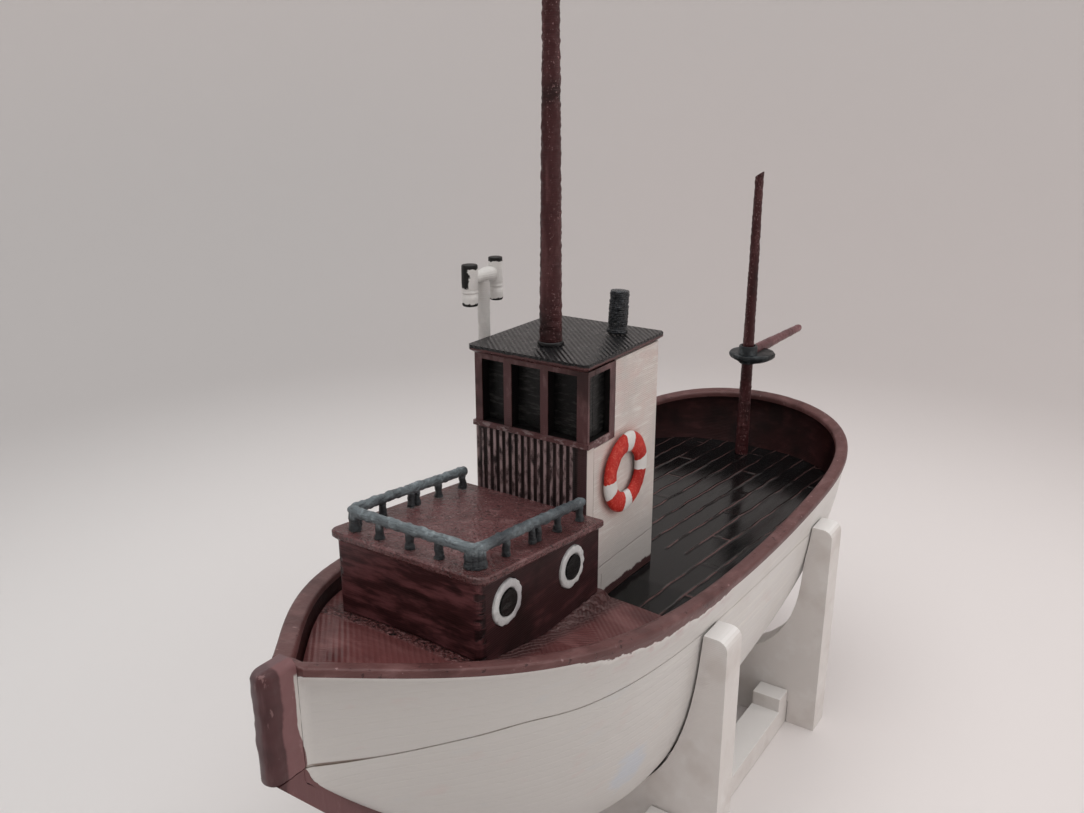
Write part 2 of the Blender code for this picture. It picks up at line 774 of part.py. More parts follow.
def build_railing():
    curve = bpy.data.curves.new("railing", "CURVE")
    curve.dimensions = "3D"
    curve.bevel_depth = RAILING_RADIUS
    curve.bevel_resolution = 2
    curve.use_fill_caps = True
    aft, front = RAILING_X
    corner = RAILING_CORNER
    half = RAILING_HALF_WIDTH
    path = [(aft, half), (front - corner, half), (front, half - corner)]
    path += [(x, -y) for x, y in reversed(path)]
    spline = curve.splines.new("POLY")
    spline.points.add(len(path) - 1)
    for point, (x, y) in zip(spline.points, path):
        point.co = (x, y, trunk_roof_top(x) + RAILING_HEIGHT - RAILING_RADIUS, 1)
    holder = bpy.data.objects.new("railing_path", curve)
    bpy.context.scene.collection.objects.link(holder)
    bpy.context.view_layer.update()
    graph = bpy.context.evaluated_depsgraph_get()
    mesh = bpy.data.meshes.new_from_object(holder.evaluated_get(graph))
    bm = bmesh.new()
    bm.from_mesh(mesh)
    bpy.data.meshes.remove(mesh)
    bpy.data.objects.remove(holder)
    bmesh.ops.remove_doubles(bm, verts=bm.verts, dist=0.001)
    railing = add("railing", bm, "rail_grey")
    feet = [(x, side * half) for x in RAILING_SIDE_POSTS for side in (1, -1)]
    feet += [(front, y) for y in RAILING_FRONT_POSTS]
    for i, (x, y) in enumerate(feet):
        low = trunk_roof_top(x) + GAP + POST_RADIUS * TRUNK_ROOF_SLOPE
        high = trunk_roof_top(x) + RAILING_HEIGHT - RAILING_RADIUS
        post = round_bar((x, y, low), (x, y, high), (POST_RADIUS,) * 2, 12)
        combine(railing, add(f"railing_post_{i}", post, None), "UNION")


# Wheelhouse


def build_front():
    back, face = HOUSE_X[1] - FRONT_DEPTH, HOUSE_X[1]
    half = HOUSE_HALF_WIDTH
    frame = add("window_frame_front", box((back, -half, SILL_Z), (face, half, WINDOW_Z[1])), "oxblood")
    sill, head = WINDOW_Z[0], WINDOW_Z[1] - WINDOW_HEAD
    holes = [box((back - PAST, low, sill), (face + PAST, high, head)) for low, high in FRONT_WINDOWS]
    combine(frame, add("front_openings", merged(*holes), None))
    sill_ledge = box(
        (back + GAP, -half - SILL_PROUD, SILL_Z + GAP), (face + SILL_PROUD, half + SILL_PROUD, sill - GAP / 3)
    )
    combine(frame, add("front_sill", sill_ledge, None), "UNION")
    holes = []
    for side in (-1, 1):
        ends = sorted((side * (half - HOUSE_WALL), side * (half + PAST)))
        holes.append(box((back - PAST, ends[0], sill), (face - CORNER_POST_DEPTH, ends[1], head)))
    combine(frame, add("side_openings", merged(*holes), None))
    outline = [(back, half), (back, -half), (face, -half)]
    for i in range(RIB_COUNT):
        y = RIB_FIRST_Y + RIB_PITCH * i
        for side in (-1, 1):
            foot = (face - RIB_DEPTH, y + side * RIB_FOOT_HALF)
            top = (face, y + side * RIB_TOP_HALF)
            outline += (foot, top) if side < 0 else (top, foot)
    outline.append((face, half))
    add("front_planking", plate(outline, HOUSE_FOOT_Z, SILL_Z - GAP, "Z"), "oxblood")


def build_side(side, side_name):
    aft, front = HOUSE_X[0], HOUSE_X[1] - FRONT_DEPTH - GAP
    frame_aft = SIDE_FRAME_AFT_X
    top = WINDOW_Z[1]
    step = DECK_STEP_X - 2 * GAP
    outline = (
        (aft, main_deck_top(aft) + GAP), (DECK_FLAT_X, main_deck_top(DECK_FLAT_X) + GAP),
        (step, main_deck_top(step) + GAP), (step, HOUSE_FOOT_Z),
        (front, HOUSE_FOOT_Z), (front, SIDE_FRAME_SILL_Z - GAP), (frame_aft - GAP, SIDE_FRAME_SILL_Z - GAP),
        (frame_aft - GAP, top), (aft, top),
    )
    ends = sorted((side * HOUSE_HALF_WIDTH, side * (HOUSE_HALF_WIDTH - HOUSE_WALL)))
    add(f"wheelhouse_side_{side_name}", plate(outline, *ends, "Y"), "hull_white")
    window_aft = SIDE_WINDOW_X[0]
    frame = (
        (frame_aft, SIDE_FRAME_SILL_Z), (front, SIDE_FRAME_SILL_Z), (front, WINDOW_Z[0]),
        (window_aft, WINDOW_Z[0]), (window_aft, top - WINDOW_HEAD), (front, top - WINDOW_HEAD),
        (front, top), (frame_aft, top),
    )
    add(f"window_frame_{side_name}", plate(frame, *ends, "Y"), "oxblood")
    inside = HOUSE_HALF_WIDTH - HOUSE_WALL - GAP
    pane = sorted((side * inside, side * (inside - GLAZING)))
    pane_front = HOUSE_X[1] - FRONT_DEPTH - GLAZING - 2 * GAP
    add(
        f"glazing_{side_name}",
        box((window_aft - WINDOW_HEAD, pane[0], SILL_Z), (pane_front, pane[1], top - GAP)),
        "deck_black",
    )


def build_house():
    build_front()
    for side, side_name in ((1, "port"), (-1, "starboard")):
        build_side(side, side_name)
    half = HOUSE_HALF_WIDTH - HOUSE_WALL - GAP
    aft = HOUSE_X[0]
    back = add(
        "wheelhouse_back",
        box((aft, -half, main_deck_top(aft + HOUSE_WALL) + GAP), (aft + HOUSE_WALL, half, WINDOW_Z[1])),
        "hull_white",
    )
    door_half, door_height, door_depth, coaming = DOOR
    foot = main_deck_top(aft) + coaming
    door = box((aft - PAST, -door_half, foot), (aft + door_depth, door_half, foot + door_height))
    combine(back, add("door_recess", door, None))
    pane_face = HOUSE_X[1] - FRONT_DEPTH - GAP
    add(
        "glazing_front",
        box((pane_face - GLAZING, -half, SILL_Z), (pane_face, half, WINDOW_Z[1] - GAP)),
        "deck_black",
    )
    low = WINDOW_Z[1] + GAP
    loops = []
    for z, less in ((low, ROOF_CHAMFER), (low + ROOF_LIP, 0.0), (ROOF_TOP_Z, 0.0)):
        x0, x1, y = ROOF_X[0] + less, ROOF_X[1] - less, ROOF_HALF_WIDTH - less
        cut = ROOF_CORNER
        corners = (
            (x0 + cut, -y), (x1 - cut, -y), (x1, -y + cut), (x1, y - cut),
            (x1 - cut, y), (x0 + cut, y), (x0, y - cut), (x0, -y + cut),
        )
        loops.append([(px, py, z) for px, py in corners])
    add("wheelhouse_roof", stack(loops), "deck_black")


def build_house_fittings():
    foot = ROOF_TOP_Z + GAP
    mast = round_bar((MAST_X, 0, foot), (MAST_X, 0, MAST_TOP_Z), MAST_RADII, 20)
    add("front_mast", mast, "oxblood")
    ring_radius, ring_height = MAST_RING
    seat = round_bar((MAST_X, 0, foot), (MAST_X, 0, foot + ring_height), (ring_radius,) * 2)
    base = add("mast_ring", seat, "deck_black")
    hole = round_bar((MAST_X, 0, foot - PAST), (MAST_X, 0, foot + ring_height + PAST), (MAST_RADII[0] + GAP,) * 2)
    combine(base, add("mast_hole", hole, None))
    x, y = CHIMNEY_XY
    lean_x, lean_y = (math.tan(math.radians(angle)) * CHIMNEY_HEIGHT for angle in CHIMNEY_LEAN)
    top = (x + lean_x, y - lean_y, foot + CHIMNEY_HEIGHT)
    chimney = add("chimney", round_bar((x, y, foot + GAP), top, (CHIMNEY_RADIUS,) * 2), "iron_grey")
    collar_wall, collar_height = CHIMNEY_COLLAR
    collar = round_bar((x, y, foot), (x, y, foot + collar_height), (CHIMNEY_RADIUS + collar_wall,) * 2)
    combine(chimney, add("chimney_foot", collar, None), "UNION")
    depth = LIFEBUOY_RADII[1] * LIFEBUOY_FLATNESS
    buoy = torus(LIFEBUOY_RADII, (40, 12))
    centre = Matrix.Translation((LIFEBUOY_XZ[0], HOUSE_HALF_WIDTH + GAP + depth, LIFEBUOY_XZ[1]))
    upright = Matrix.Rotation(math.pi / 2, 4, "X") @ Matrix.Diagonal((1, 1, LIFEBUOY_FLATNESS, 1))
    bmesh.ops.transform(buoy, matrix=centre @ upright, verts=buoy.verts)
    add("lifebuoy", buoy, "buoy_red")


def build_lamps():
    x, y = LAMP_POST_XY
    low, high = LAMP_POST_Z
    post = add("lamp_post", round_bar((x, y, low), (x, y, high), (LAMP_POST_RADIUS,) * 2, 16), "hull_white")
    arm_low, arm_high = LAMP_ARM_Z
    arm = box(
        (x - LAMP_ARM_HALF_WIDTH, y, arm_low), (x + LAMP_ARM_HALF_WIDTH, -HOUSE_HALF_WIDTH - GAP, arm_high)
    )
    combine(post, add("lamp_arm", arm, None), "UNION")
    ends = []
    for name, lamp_x, radius in LAMPS:
        lamp = add(name, round_bar((lamp_x, y, LAMP_Z[0]), (lamp_x, y, LAMP_Z[1]), (radius,) * 2, 20), "hull_white")
        middle = sum(LAMP_Z) / 2
        width, depth = LAMP_GROOVE
        low_end, high_end = (lamp_x, y, middle - width / 2), (lamp_x, y, middle + width / 2)
        groove = round_bar(low_end, high_end, (radius + PAST,) * 2, 20)
        low_end, high_end = (lamp_x, y, middle - width), (lamp_x, y, middle + width)
        core = round_bar(low_end, high_end, (radius - depth,) * 2, 20)
        band = add(f"{name}_groove", groove, None)
        combine(band, add(f"{name}_core", core, None))
        combine(lamp, band)
        ends.append(lamp_x - math.copysign(radius + GAP, lamp_x - x))
    barrel = round_bar((ends[0], y, high), (ends[1], y, high), (LAMP_BARREL_RADIUS,) * 2, 16)
    combine(post, add("lamp_barrel", barrel, None), "UNION")


# Mizzen


def mizzen_radius(z):
    foot = main_deck_top(MIZZEN_X) + GAP
    share = (z - foot) / (MIZZEN_TOP_Z - foot)
    return MIZZEN_RADII[0] + (MIZZEN_RADII[1] - MIZZEN_RADII[0]) * share


def build_mizzen():
    foot = main_deck_top(MIZZEN_X) + GAP + MIZZEN_RADII[0] * DECK_FALL
    mast = round_bar((MIZZEN_X, 0, foot), (MIZZEN_X, 0, MIZZEN_TOP_Z), MIZZEN_RADII, 20)
    mizzen = add("mizzen_mast", mast, "oxblood")
    half = MIZZEN_RADII[1] + PAST
    top = box((-half, -half, 0), (half, half, 2 * half))
    slope = Matrix.Rotation(math.atan(MIZZEN_CUT), 4, "X")
    place = Matrix.Translation((MIZZEN_X, 0, MIZZEN_TOP_Z - MIZZEN_RADII[1] * MIZZEN_CUT))
    bmesh.ops.transform(top, matrix=place @ slope, verts=top.verts)
    combine(mizzen, add("mizzen_top_cut", top, None))

    hinge = (MIZZEN_X, 0, BOOM_Z)
    saddle_x = MIZZEN_X - SADDLE_SHIFT
    loops = []
    for z, radius in SADDLE_PROFILE:
        turns = [math.tau * i / 32 for i in range(32)]
        loops.append([(saddle_x + radius * math.cos(a), radius * math.sin(a), z) for a in turns])
    collar = add("boom_collar", stack(loops), "rail_grey", hinge)
    foot_z, rim_z = SADDLE_PROFILE[0][0], SADDLE_PROFILE[-1][0]
    sleeve_radius = mizzen_radius(rim_z) + RUN_CLEARANCE + COLLAR_WALL
    sleeve = round_bar((MIZZEN_X, 0, foot_z), (MIZZEN_X, 0, COLLAR_TOP_Z), (sleeve_radius,) * 2)
    combine(collar, add("collar_sleeve", sleeve, None), "UNION")
    bore = round_bar(
        (MIZZEN_X, 0, foot_z - PAST), (MIZZEN_X, 0, COLLAR_TOP_Z + PAST),
        (mizzen_radius(foot_z) + RUN_CLEARANCE,) * 2,
    )
    combine(collar, add("collar_bore", bore, None))
    start = (MIZZEN_X - BOOM_START, 0, BOOM_Z)
    end = (-(STEM_NOSE_X + POST_HALF_WIDTH), 0, BOOM_Z - BOOM_DROP)
    groove = round_bar((MIZZEN_X - BOOM_START + GAP, 0, BOOM_Z), end, [radius + GAP for radius in BOOM_RADII], 16)
    combine(collar, add("boom_groove", groove, None))
    add("boom", round_bar(start, end, BOOM_RADII, 16), "oxblood", hinge)


# Stand


def cradle_outline(aft, front, top_z):
    """Half of a frame, seen from the front: up the cut-out that holds the hull, and down outside."""
    steps = 18
    rear_half, rear_top, rear_power, rear_root = REAR_CRADLE
    cradle = []
    for i in range(1, steps + 1):
        z = KEEL_TOP + (top_z - KEEL_TOP) * (i / steps) ** 1.8
        half_width = max(breadth(aft, z), breadth(front, z)) + CRADLE_CLEARANCE
        if front < 0:
            depth = (rear_top - z) / (rear_top - KEEL_TOP)
            half_width = max(half_width, rear_half * (1 - depth**rear_power) ** (1 / rear_root))
        cradle.append((half_width, z - CRADLE_CLEARANCE * (1 - i / steps)))
    notch = POST_HALF_WIDTH + CRADLE_CLEARANCE
    side = [(notch, CRADLE_FLOOR_Z), (notch, KEEL_TOP - CRADLE_CLEARANCE)]
    side.append((max(breadth(aft, KEEL_TOP + 0.1), notch + 0.2), KEEL_TOP - CRADLE_CLEARANCE))
    side += cradle
    for i in range(6):
        angle = math.pi / 2 * (1 - i / 5)
        corner = (FRAME_HALF_WIDTH - FRAME_ROUND, top_z - FRAME_ROUND)
        side.append((corner[0] + FRAME_ROUND * math.cos(angle), corner[1] + FRAME_ROUND * math.sin(angle)))
    side.append((FRAME_HALF_WIDTH, 0))
    return side


def build_stand():
    for (aft, front), top_z, end in zip(FRAME_X, FRAME_TOP_Z, ("fore", "aft")):
        side = cradle_outline(aft, front, top_z)
        outline = side + [(-y, z) for y, z in reversed(side)]
        frame = add(f"stand_frame_{end}", plate(outline, aft, front, "X"), "stand_white")
        slots = []
        for y0, y1 in (BAR_Y, (-BAR_Y[1], -BAR_Y[0])):
            slots.append(box((aft - PAST, y0 - GAP, -PAST), (front + PAST, y1 + GAP, BAR_HEIGHT + GAP)))
        combine(frame, add(f"bar_slots_{end}", merged(*slots), None))
    for side_sign, side_name in ((1, "port"), (-1, "starboard")):
        y0, y1 = sorted((side_sign * BAR_Y[0], side_sign * BAR_Y[1]))
        front_end = FRAME_X[0][1] + GAP + BLOCK_LENGTH
        aft_end = FRAME_X[1][0] - GAP - BLOCK_LENGTH
        outline = [(aft_end, 0), (front_end, 0)]
        for (aft, front), block_top in zip(FRAME_X, BLOCK_TOP_Z):
            outline += [
                (front + GAP + BLOCK_LENGTH, block_top), (front + GAP, block_top),
                (front + GAP, BAR_HEIGHT), (aft - GAP, BAR_HEIGHT),
                (aft - GAP, BLOCK_TOP_Z[1]), (aft - GAP - BLOCK_LENGTH, BLOCK_TOP_Z[1]),
            ]
            if aft > 0:
                outline.append((aft - GAP - BLOCK_LENGTH, BAR_HEIGHT))
                outline.append((FRAME_X[1][1] + GAP + BLOCK_LENGTH, BAR_HEIGHT))
        add(f"stand_bar_{side_name}", plate(outline, y0, y1, "Y"), "stand_white")


build_lower_hull()
build_topsides()
build_rail()
build_decks()
build_stem()
build_keel()
build_propeller()
build_rudder()
build_trunk()
build_portholes()
build_railing()
build_house()
build_house_fittings()
build_lamps()
build_mizzen()
build_stand()
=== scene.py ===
"""Painted model of a fishing boat on its stand, with its paint, light and camera.

+X is the bow, +Y is port and +Z is up. Lengths are in millimetres.
"""

import math

import bmesh
import bpy
from mathutils import Matrix, Vector, noise


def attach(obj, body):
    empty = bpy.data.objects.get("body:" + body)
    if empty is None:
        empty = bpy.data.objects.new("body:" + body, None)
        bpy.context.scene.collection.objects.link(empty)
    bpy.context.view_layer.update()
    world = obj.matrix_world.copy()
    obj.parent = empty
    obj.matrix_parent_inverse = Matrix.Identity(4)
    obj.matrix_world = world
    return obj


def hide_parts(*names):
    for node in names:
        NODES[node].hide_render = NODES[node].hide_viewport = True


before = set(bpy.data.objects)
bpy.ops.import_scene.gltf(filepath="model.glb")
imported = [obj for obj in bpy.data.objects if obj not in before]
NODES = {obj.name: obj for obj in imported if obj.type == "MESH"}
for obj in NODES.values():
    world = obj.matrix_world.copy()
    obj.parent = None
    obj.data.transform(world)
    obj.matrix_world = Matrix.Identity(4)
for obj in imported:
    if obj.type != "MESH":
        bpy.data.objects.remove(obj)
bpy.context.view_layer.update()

MM = 0.001
GAP = 0.06
SIDES = ((1, "port"), (-1, "starboard"))

# The hull's lines, as in the part's own source
HALF_BEAM = 16.8
WIDEST_X = -10.0
BOW_X = 51.5
STERN_X = -40.4
BOW_FULLNESS = 5.2
BOW_POINT = 1.43
STERN_FULLNESS = 4.1
RAIL_OVERHANG = (0.4, 0.05)
LOWEST_SHEER = 31.5
LOWEST_SHEER_X = -5.0
BOW_RISE = 8.0
BOW_RISE_CURVE = 1.9
STERN_RISE = 3.4
KEEL_TOP = 6.6
FOREFOOT_X = 15.0
FOREFOOT_RISE = 22.3
FOREFOOT_CURVE = 1.85
HULL_BOW_X = 48.7
TUCK_X = -12.0
TUCK_RISE = 25.0
TUCK_CURVE = 2.6
HULL_STERN_X = -40.35
STEM_BACK_X = 49.1
POST_HALF_WIDTH = 0.95
MID_SECTION = (2.3, 3.05)
BOW_SECTION = (0.9, 1.6)
STERN_SECTION = (2.35, 1.45)
FULLEST_X = 14.0
BOW_BLEND_END_X = 60.0
STERN_BLEND_END_X = -35.0
TOP_FLARE = 0.78
TOP_FLARE_SHARE = 0.2
TOP_FLARE_X = (-36.0, -16.0)
SEAM_Z = 28.0
SEAM_SLOPE = 0.051
SEAM_RISE = (0.40, 35.0, 3.2)
SEAM_BOW_LIFT = (0.75, 44.6, 4.3, 2.2)
SEAM_BOW_DIP = (0.33, (39.0, 44.0))
SEAM_CHAMFER = 0.05
DECK_Z = 29.96
DECK_FALL = 0.048
DECK_FLAT_X = 10.0
WALL = 0.85
DECK_CLEARANCE = 0.25
DECK_THICKNESS = 0.85
DECK_STEP_X = 16.0
FOREDECK_BOW_X = 47.4
FOREDECK_CROWN = 0.55
FOREDECK_DROP = 1.7
FOREDECK_AFT_DROP = 0.035
FOREDECK_DROP_X = 36.0
FOREDECK_THICKNESS = 2.2
LEDGE_Z = 32.7
LEDGE_Y = (7.62, 8.3)
LEDGE_X = (16.2, 18.4)
RAIL_WIDTH = 1.5
RAIL_THICKNESS = 0.7

# Deck planks
PLANK_PITCH = 2.3
PLANK_OFFSET = 0.7
PLANK_DRIFT = 0.05
PLANK_LENGTH = 29.0
SEAM_HALF = 0.14
SEAM_HEIGHT = 0.09

TRUNK_ROOF_Z = 40.2
TRUNK_ROOF_SLOPE = 0.115
TRUNK_ROOF_FROM_X = 20.0
TRUNK_FRONT = 36.5
TRUNK_HALF = 7.55
ROOF_TOP = 54.3
STEM_Z = (30.3, 39.35)
LAMP_Y = -7.15
BUOY_PLACE = (12.5, 6.66, 42.25)

# Paints: linear colours, the print's layers and lines, and the places where one paint meets another
WARM_WHITE = (0.66, 0.60, 0.565)
BLACK = (0.010, 0.010, 0.011)
LAYER = 0.2
# How much finer a coat's small strokes are than its wide ones
FINER = 3.1
PRINT_ALONG = (0.7071, 0.7071, 0.0)
PRINT_ACROSS = (0.7071, -0.7071, 0.0)
# Level, and to the left in the photograph
PHOTO_LEFT = (0.556, -0.831, 0.0)
STEM_LAP_X = 48.86
STEM_LAP_SHIFT = 0.62
BLUE_SMEAR = (22.0, 13.2, 17.6)
HOUSE_CREASE_Z = 33.78
SILL_TOP = 46.95


# Shapes


def ease(value, start, end):
    """A smooth step from 0 at start to 1 at end."""
    t = min(1.0, max(0.0, (value - start) / (end - start)))
    return t * t * (3 - 2 * t)


def even(start, end, steps):
    """Numbers from start to end in even steps."""
    return [start + (end - start) * i / steps for i in range(steps + 1)]


def bunched(start, end, steps):
    """Numbers from start to end in steps that are shorter towards both ends."""
    return [(start + end) / 2 + (start - end) / 2 * math.cos(turn) for turn in even(0.0, math.pi, steps)]


def turns(count):
    """The cosine and sine of each of so many even turns round a circle."""
    return [(math.cos(math.tau * i / count), math.sin(math.tau * i / count)) for i in range(count)]


def waver(x, y, z, size, seed=0.0):
    """Smooth noise of about -1 to 1 whose bumps are about size across."""
    return noise.noise(Vector((x / size + seed, y / size - seed, z / size + 2 * seed))) * 1.6


def sheer(x):
    """Height of the rail's top."""
    if x > LOWEST_SHEER_X:
        share = (x - LOWEST_SHEER_X) / (BOW_X - LOWEST_SHEER_X)
        return LOWEST_SHEER + BOW_RISE * share**BOW_RISE_CURVE
    return LOWEST_SHEER + STERN_RISE * ((LOWEST_SHEER_X - x) / (LOWEST_SHEER_X - STERN_X)) ** 2


def plan(x, inset):
    """Half breadth at the rail, moved in from the rail's outer edge."""
    beam = HALF_BEAM - inset
    if x > WIDEST_X:
        t = min(1.0, (x - WIDEST_X) / (BOW_X - inset - WIDEST_X))
        return beam * (1 - t**BOW_FULLNESS) ** BOW_POINT
    t = min(1.0, (WIDEST_X - x) / (WIDEST_X - STERN_X - inset))
    return beam * math.sqrt(1 - t**STERN_FULLNESS)


def keel_line(x, skin=0.0):
    """Height of the hull's bottom at the centre line, skin inside its surface."""
    if x > FOREFOOT_X:
        t = (x - FOREFOOT_X) / (HULL_BOW_X - FOREFOOT_X - skin)
        return KEEL_TOP + skin + FOREFOOT_RISE * t**FOREFOOT_CURVE
    if x < TUCK_X:
        t = (TUCK_X - x) / (TUCK_X - HULL_STERN_X - skin)
        return KEEL_TOP + skin + TUCK_RISE * t**TUCK_CURVE
    return KEEL_TOP + skin


def section_shape(x):
    """The two powers of the hull's section at x."""
    if x > FULLEST_X:
        blend = ease(x, FULLEST_X, BOW_BLEND_END_X)
        end = BOW_SECTION
    else:
        blend = ease(x, FULLEST_X, STERN_BLEND_END_X)
        end = STERN_SECTION
    return [mid + (far - mid) * blend for mid, far in zip(MID_SECTION, end)]


def breadth(x, z, skin=0.0):
    """Half breadth of the hull at x and z, skin inside its surface."""
    least = max(0.1, POST_HALF_WIDTH - 0.65 * skin)
    bottom = keel_line(x, skin)
    depth = (sheer(x) - z) / max(0.01, sheer(x) - bottom)
    depth = min(1.0, max(0.0, depth))
    flare = TOP_FLARE * ease(depth, 0.0, TOP_FLARE_SHARE) * ease(x, *TOP_FLARE_X)
    bow, stern = RAIL_OVERHANG
    overhang = stern + (bow - stern) * (x - STERN_X) / (BOW_X - STERN_X)
    top = max(least, plan(x, overhang + skin) - flare)
    power, root = section_shape(x)
    return least + (top - least) * (1 - depth**power) ** (1 / root)


def bisect(function, low, high):
    """Where the function crosses zero between low and high."""
    positive = function(low) > 0
    for _ in range(40):
        middle = (low + high) / 2
        if (function(middle) > 0) == positive:
            low = middle
        else:
            high = middle
    return (low + high) / 2


def level_loop(level, skin=0.0, steps=110):
    """The hull's outline at a level: port from bow to stern, then starboard back."""
    bow = STEM_BACK_X - GAP - skin
    stern = HULL_STERN_X + skin
    if keel_line(bow, skin) > level(bow):
        bow = bisect(lambda x: keel_line(x, skin) - level(x), FOREFOOT_X, bow)
    if keel_line(stern, skin) > level(stern):
        stern = bisect(lambda x: keel_line(x, skin) - level(x), TUCK_X, stern)
    port = [(x, breadth(x, level(x), skin), level(x)) for x in bunched(bow, stern, steps)]
    return port + [(x, -y, z) for x, y, z in reversed(port)]


def seam(x):
    """Height of the joint between the lower hull and the topsides, which wavers towards the bow."""
    rise, rise_x, rise_spread = SEAM_RISE
    waver_up = rise * math.exp(-(((x - rise_x) / rise_spread) ** 2))
    lift, lift_from, lift_over, power = SEAM_BOW_LIFT
    at_bow = lift * max(0.0, (x - lift_from) / lift_over) ** power
    at_bow -= SEAM_BOW_DIP[0] * ease(x, *SEAM_BOW_DIP[1])
    return SEAM_Z + (x - FULLEST_X) * SEAM_SLOPE + waver_up + at_bow


def main_deck_top(x):
    return DECK_Z + min(0.0, (x - DECK_FLAT_X) * DECK_FALL)


def foredeck_side(x):
    """Height of the foredeck at the bulwark."""
    return sheer(x) - FOREDECK_DROP - FOREDECK_AFT_DROP * max(0.0, FOREDECK_DROP_X - x)


def foredeck_top(x, y):
    """The crowned foredeck, with the level ledge that the trunk stands on."""
    half = breadth(x, foredeck_side(x), WALL + DECK_CLEARANCE)
    top = foredeck_side(x) + FOREDECK_CROWN * max(0.0, 1 - (y / half) ** 2)
    lift = max(0.0, LEDGE_Z - top) * ease(x, *LEDGE_X)
    return top + lift * (1 - ease(abs(y), *LEDGE_Y))


def trunk_roof_top(x):
    return TRUNK_ROOF_Z + TRUNK_ROOF_SLOPE * (x - TRUNK_ROOF_FROM_X)


def ring(columns, closed=True):
    """Points and faces of closed profiles carried along a path, which is closed too or has flat ends."""
    points = [point for column in columns for point in column]
    count, rows = len(columns[0]), len(columns)
    faces = []
    for k in range(rows if closed else rows - 1):
        following = (k + 1) % rows
        for i in range(count):
            j = (i + 1) % count
            faces.append((k * count + i, k * count + j, following * count + j, following * count + i))
    if not closed:
        faces.append(tuple(range(count)))
        faces.append(tuple((rows - 1) * count + i for i in range(count)))
    return points, faces


def turned(profile, sides, place, axis, uneven, grain, seed, lift=0.0):
    """Rows of points: (height, radius) pairs turned round an axis from place, with bumps."""
    turn = Vector((0, 0, 1)).rotation_difference(Vector(axis)).to_matrix()
    around = [Vector((*pair, 0)) for pair in turns(sides)]
    rows = []
    for height, radius in profile:
        row = []
        for flat in around:
            more = uneven * waver(flat.x * radius, flat.y * radius, height, grain, seed)
            bumpy = flat * (radius + more) + Vector((0, 0, height + more * lift))
            row.append(Vector(place) + turn @ bumpy)
        rows.append(row)
    return rows


def lathe(profile, sides, place, axis=(0, 0, 1), uneven=0.0, grain=0.5, seed=0.0):
    """A turned shape with flat ends, from (height, radius) pairs."""
    return ring(turned(profile, sides, place, axis, uneven, grain, seed), closed=False)


def hoop(section, sides, place, axis, uneven, grain, seed):
    """A turned ring, from the (height, radius) pairs round its section."""
    return ring(list(zip(*turned(section, sides, place, axis, uneven, grain, seed, 0.5))))


def joined(*shapes):
    """One list of points and one of faces for shapes that lie apart or touch."""
    points, faces = [], []
    for more, others in shapes:
        start = len(points)
        points += more
        faces += [tuple(start + i for i in face) for face in others]
    return points, faces


def new_mesh(name, points, faces):
    """A mesh from points in millimetres."""
    mesh = bpy.data.meshes.new(name)
    mesh.from_pydata([Vector(point) * MM for point in points], [], faces)
    return mesh


def placed(name, data):
    """A new object in the scene for a mesh, a light or a camera."""
    obj = bpy.data.objects.new(name, data)
    bpy.context.scene.collection.objects.link(obj)
    return obj


def piece(name, shape, paint, body, replaced=(), smooth=40.0):
    """A finished mesh in the frame: it rides on a body and takes the place of CAD nodes."""
    mesh = new_mesh(name, *shape)
    bm = bmesh.new()
    bm.from_mesh(mesh)
    bmesh.ops.recalc_face_normals(bm, faces=bm.faces)
    bm.to_mesh(mesh)
    bm.free()
    mesh.shade_smooth()
    mesh.set_sharp_from_angle(angle=math.radians(smooth))
    obj = placed(name, mesh)
    for one in paint if isinstance(paint, list) else [paint]:
        mesh.materials.append(one)
    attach(obj, body)
    if replaced:
        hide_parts(*replaced)
    return obj


def mark(obj, name, values):
    """Stores one number for each point, for the paint to read."""
    layer = obj.data.attributes.new(name, "FLOAT", "POINT")
    layer.data.foreach_set("value", [float(value) for value in values])


def wear(starts, paint, bevel=0.0):
    """Gives CAD nodes whose names start so their paint, and soft edges where bevel is set."""
    for obj in [obj for name, obj in NODES.items() if name.startswith(starts)]:
        obj.data.materials.clear()
        obj.data.materials.append(paint)
        if bevel:
            weld = obj.modifiers.new("joined_corners", "WELD")
            weld.merge_threshold = 0.002 * MM
            soft = obj.modifiers.new("soft_edges", "BEVEL")
            soft.width = bevel * MM
            soft.segments = 2
            soft.limit_method = "ANGLE"
            soft.angle_limit = math.radians(40)
            soft.harden_normals = True


# Paint


class Field:
    """A number that varies over a surface: a node's output, whose arithmetic adds more nodes."""

    def __init__(self, paint, socket):
        self.paint = paint
        self.socket = socket

    def __add__(self, other):
        return self.paint.maths("ADD", self, other)

    def __sub__(self, other):
        return self.paint.maths("SUBTRACT", self, other)

    def __rsub__(self, other):
        return self.paint.maths("SUBTRACT", other, self)

    def __mul__(self, other):
        return self.paint.maths("MULTIPLY", self, other)

    def __abs__(self):
        return self.paint.maths("ABSOLUTE", self)

    def step(self, low, high):
        """0 below low, 1 above high, smooth in between. High may be the lower of the two."""
        made = self.paint.node("ShaderNodeMapRange", Value=self)
        made.interpolation_type = "SMOOTHSTEP"
        ends = (low, high, 0.0, 1.0) if low <= high else (high, low, 1.0, 0.0)
        for name, end in zip(("From Min", "From Max", "To Min", "To Max"), ends):
            made.inputs[name].default_value = end
        return Field(self.paint, made.outputs["Result"])


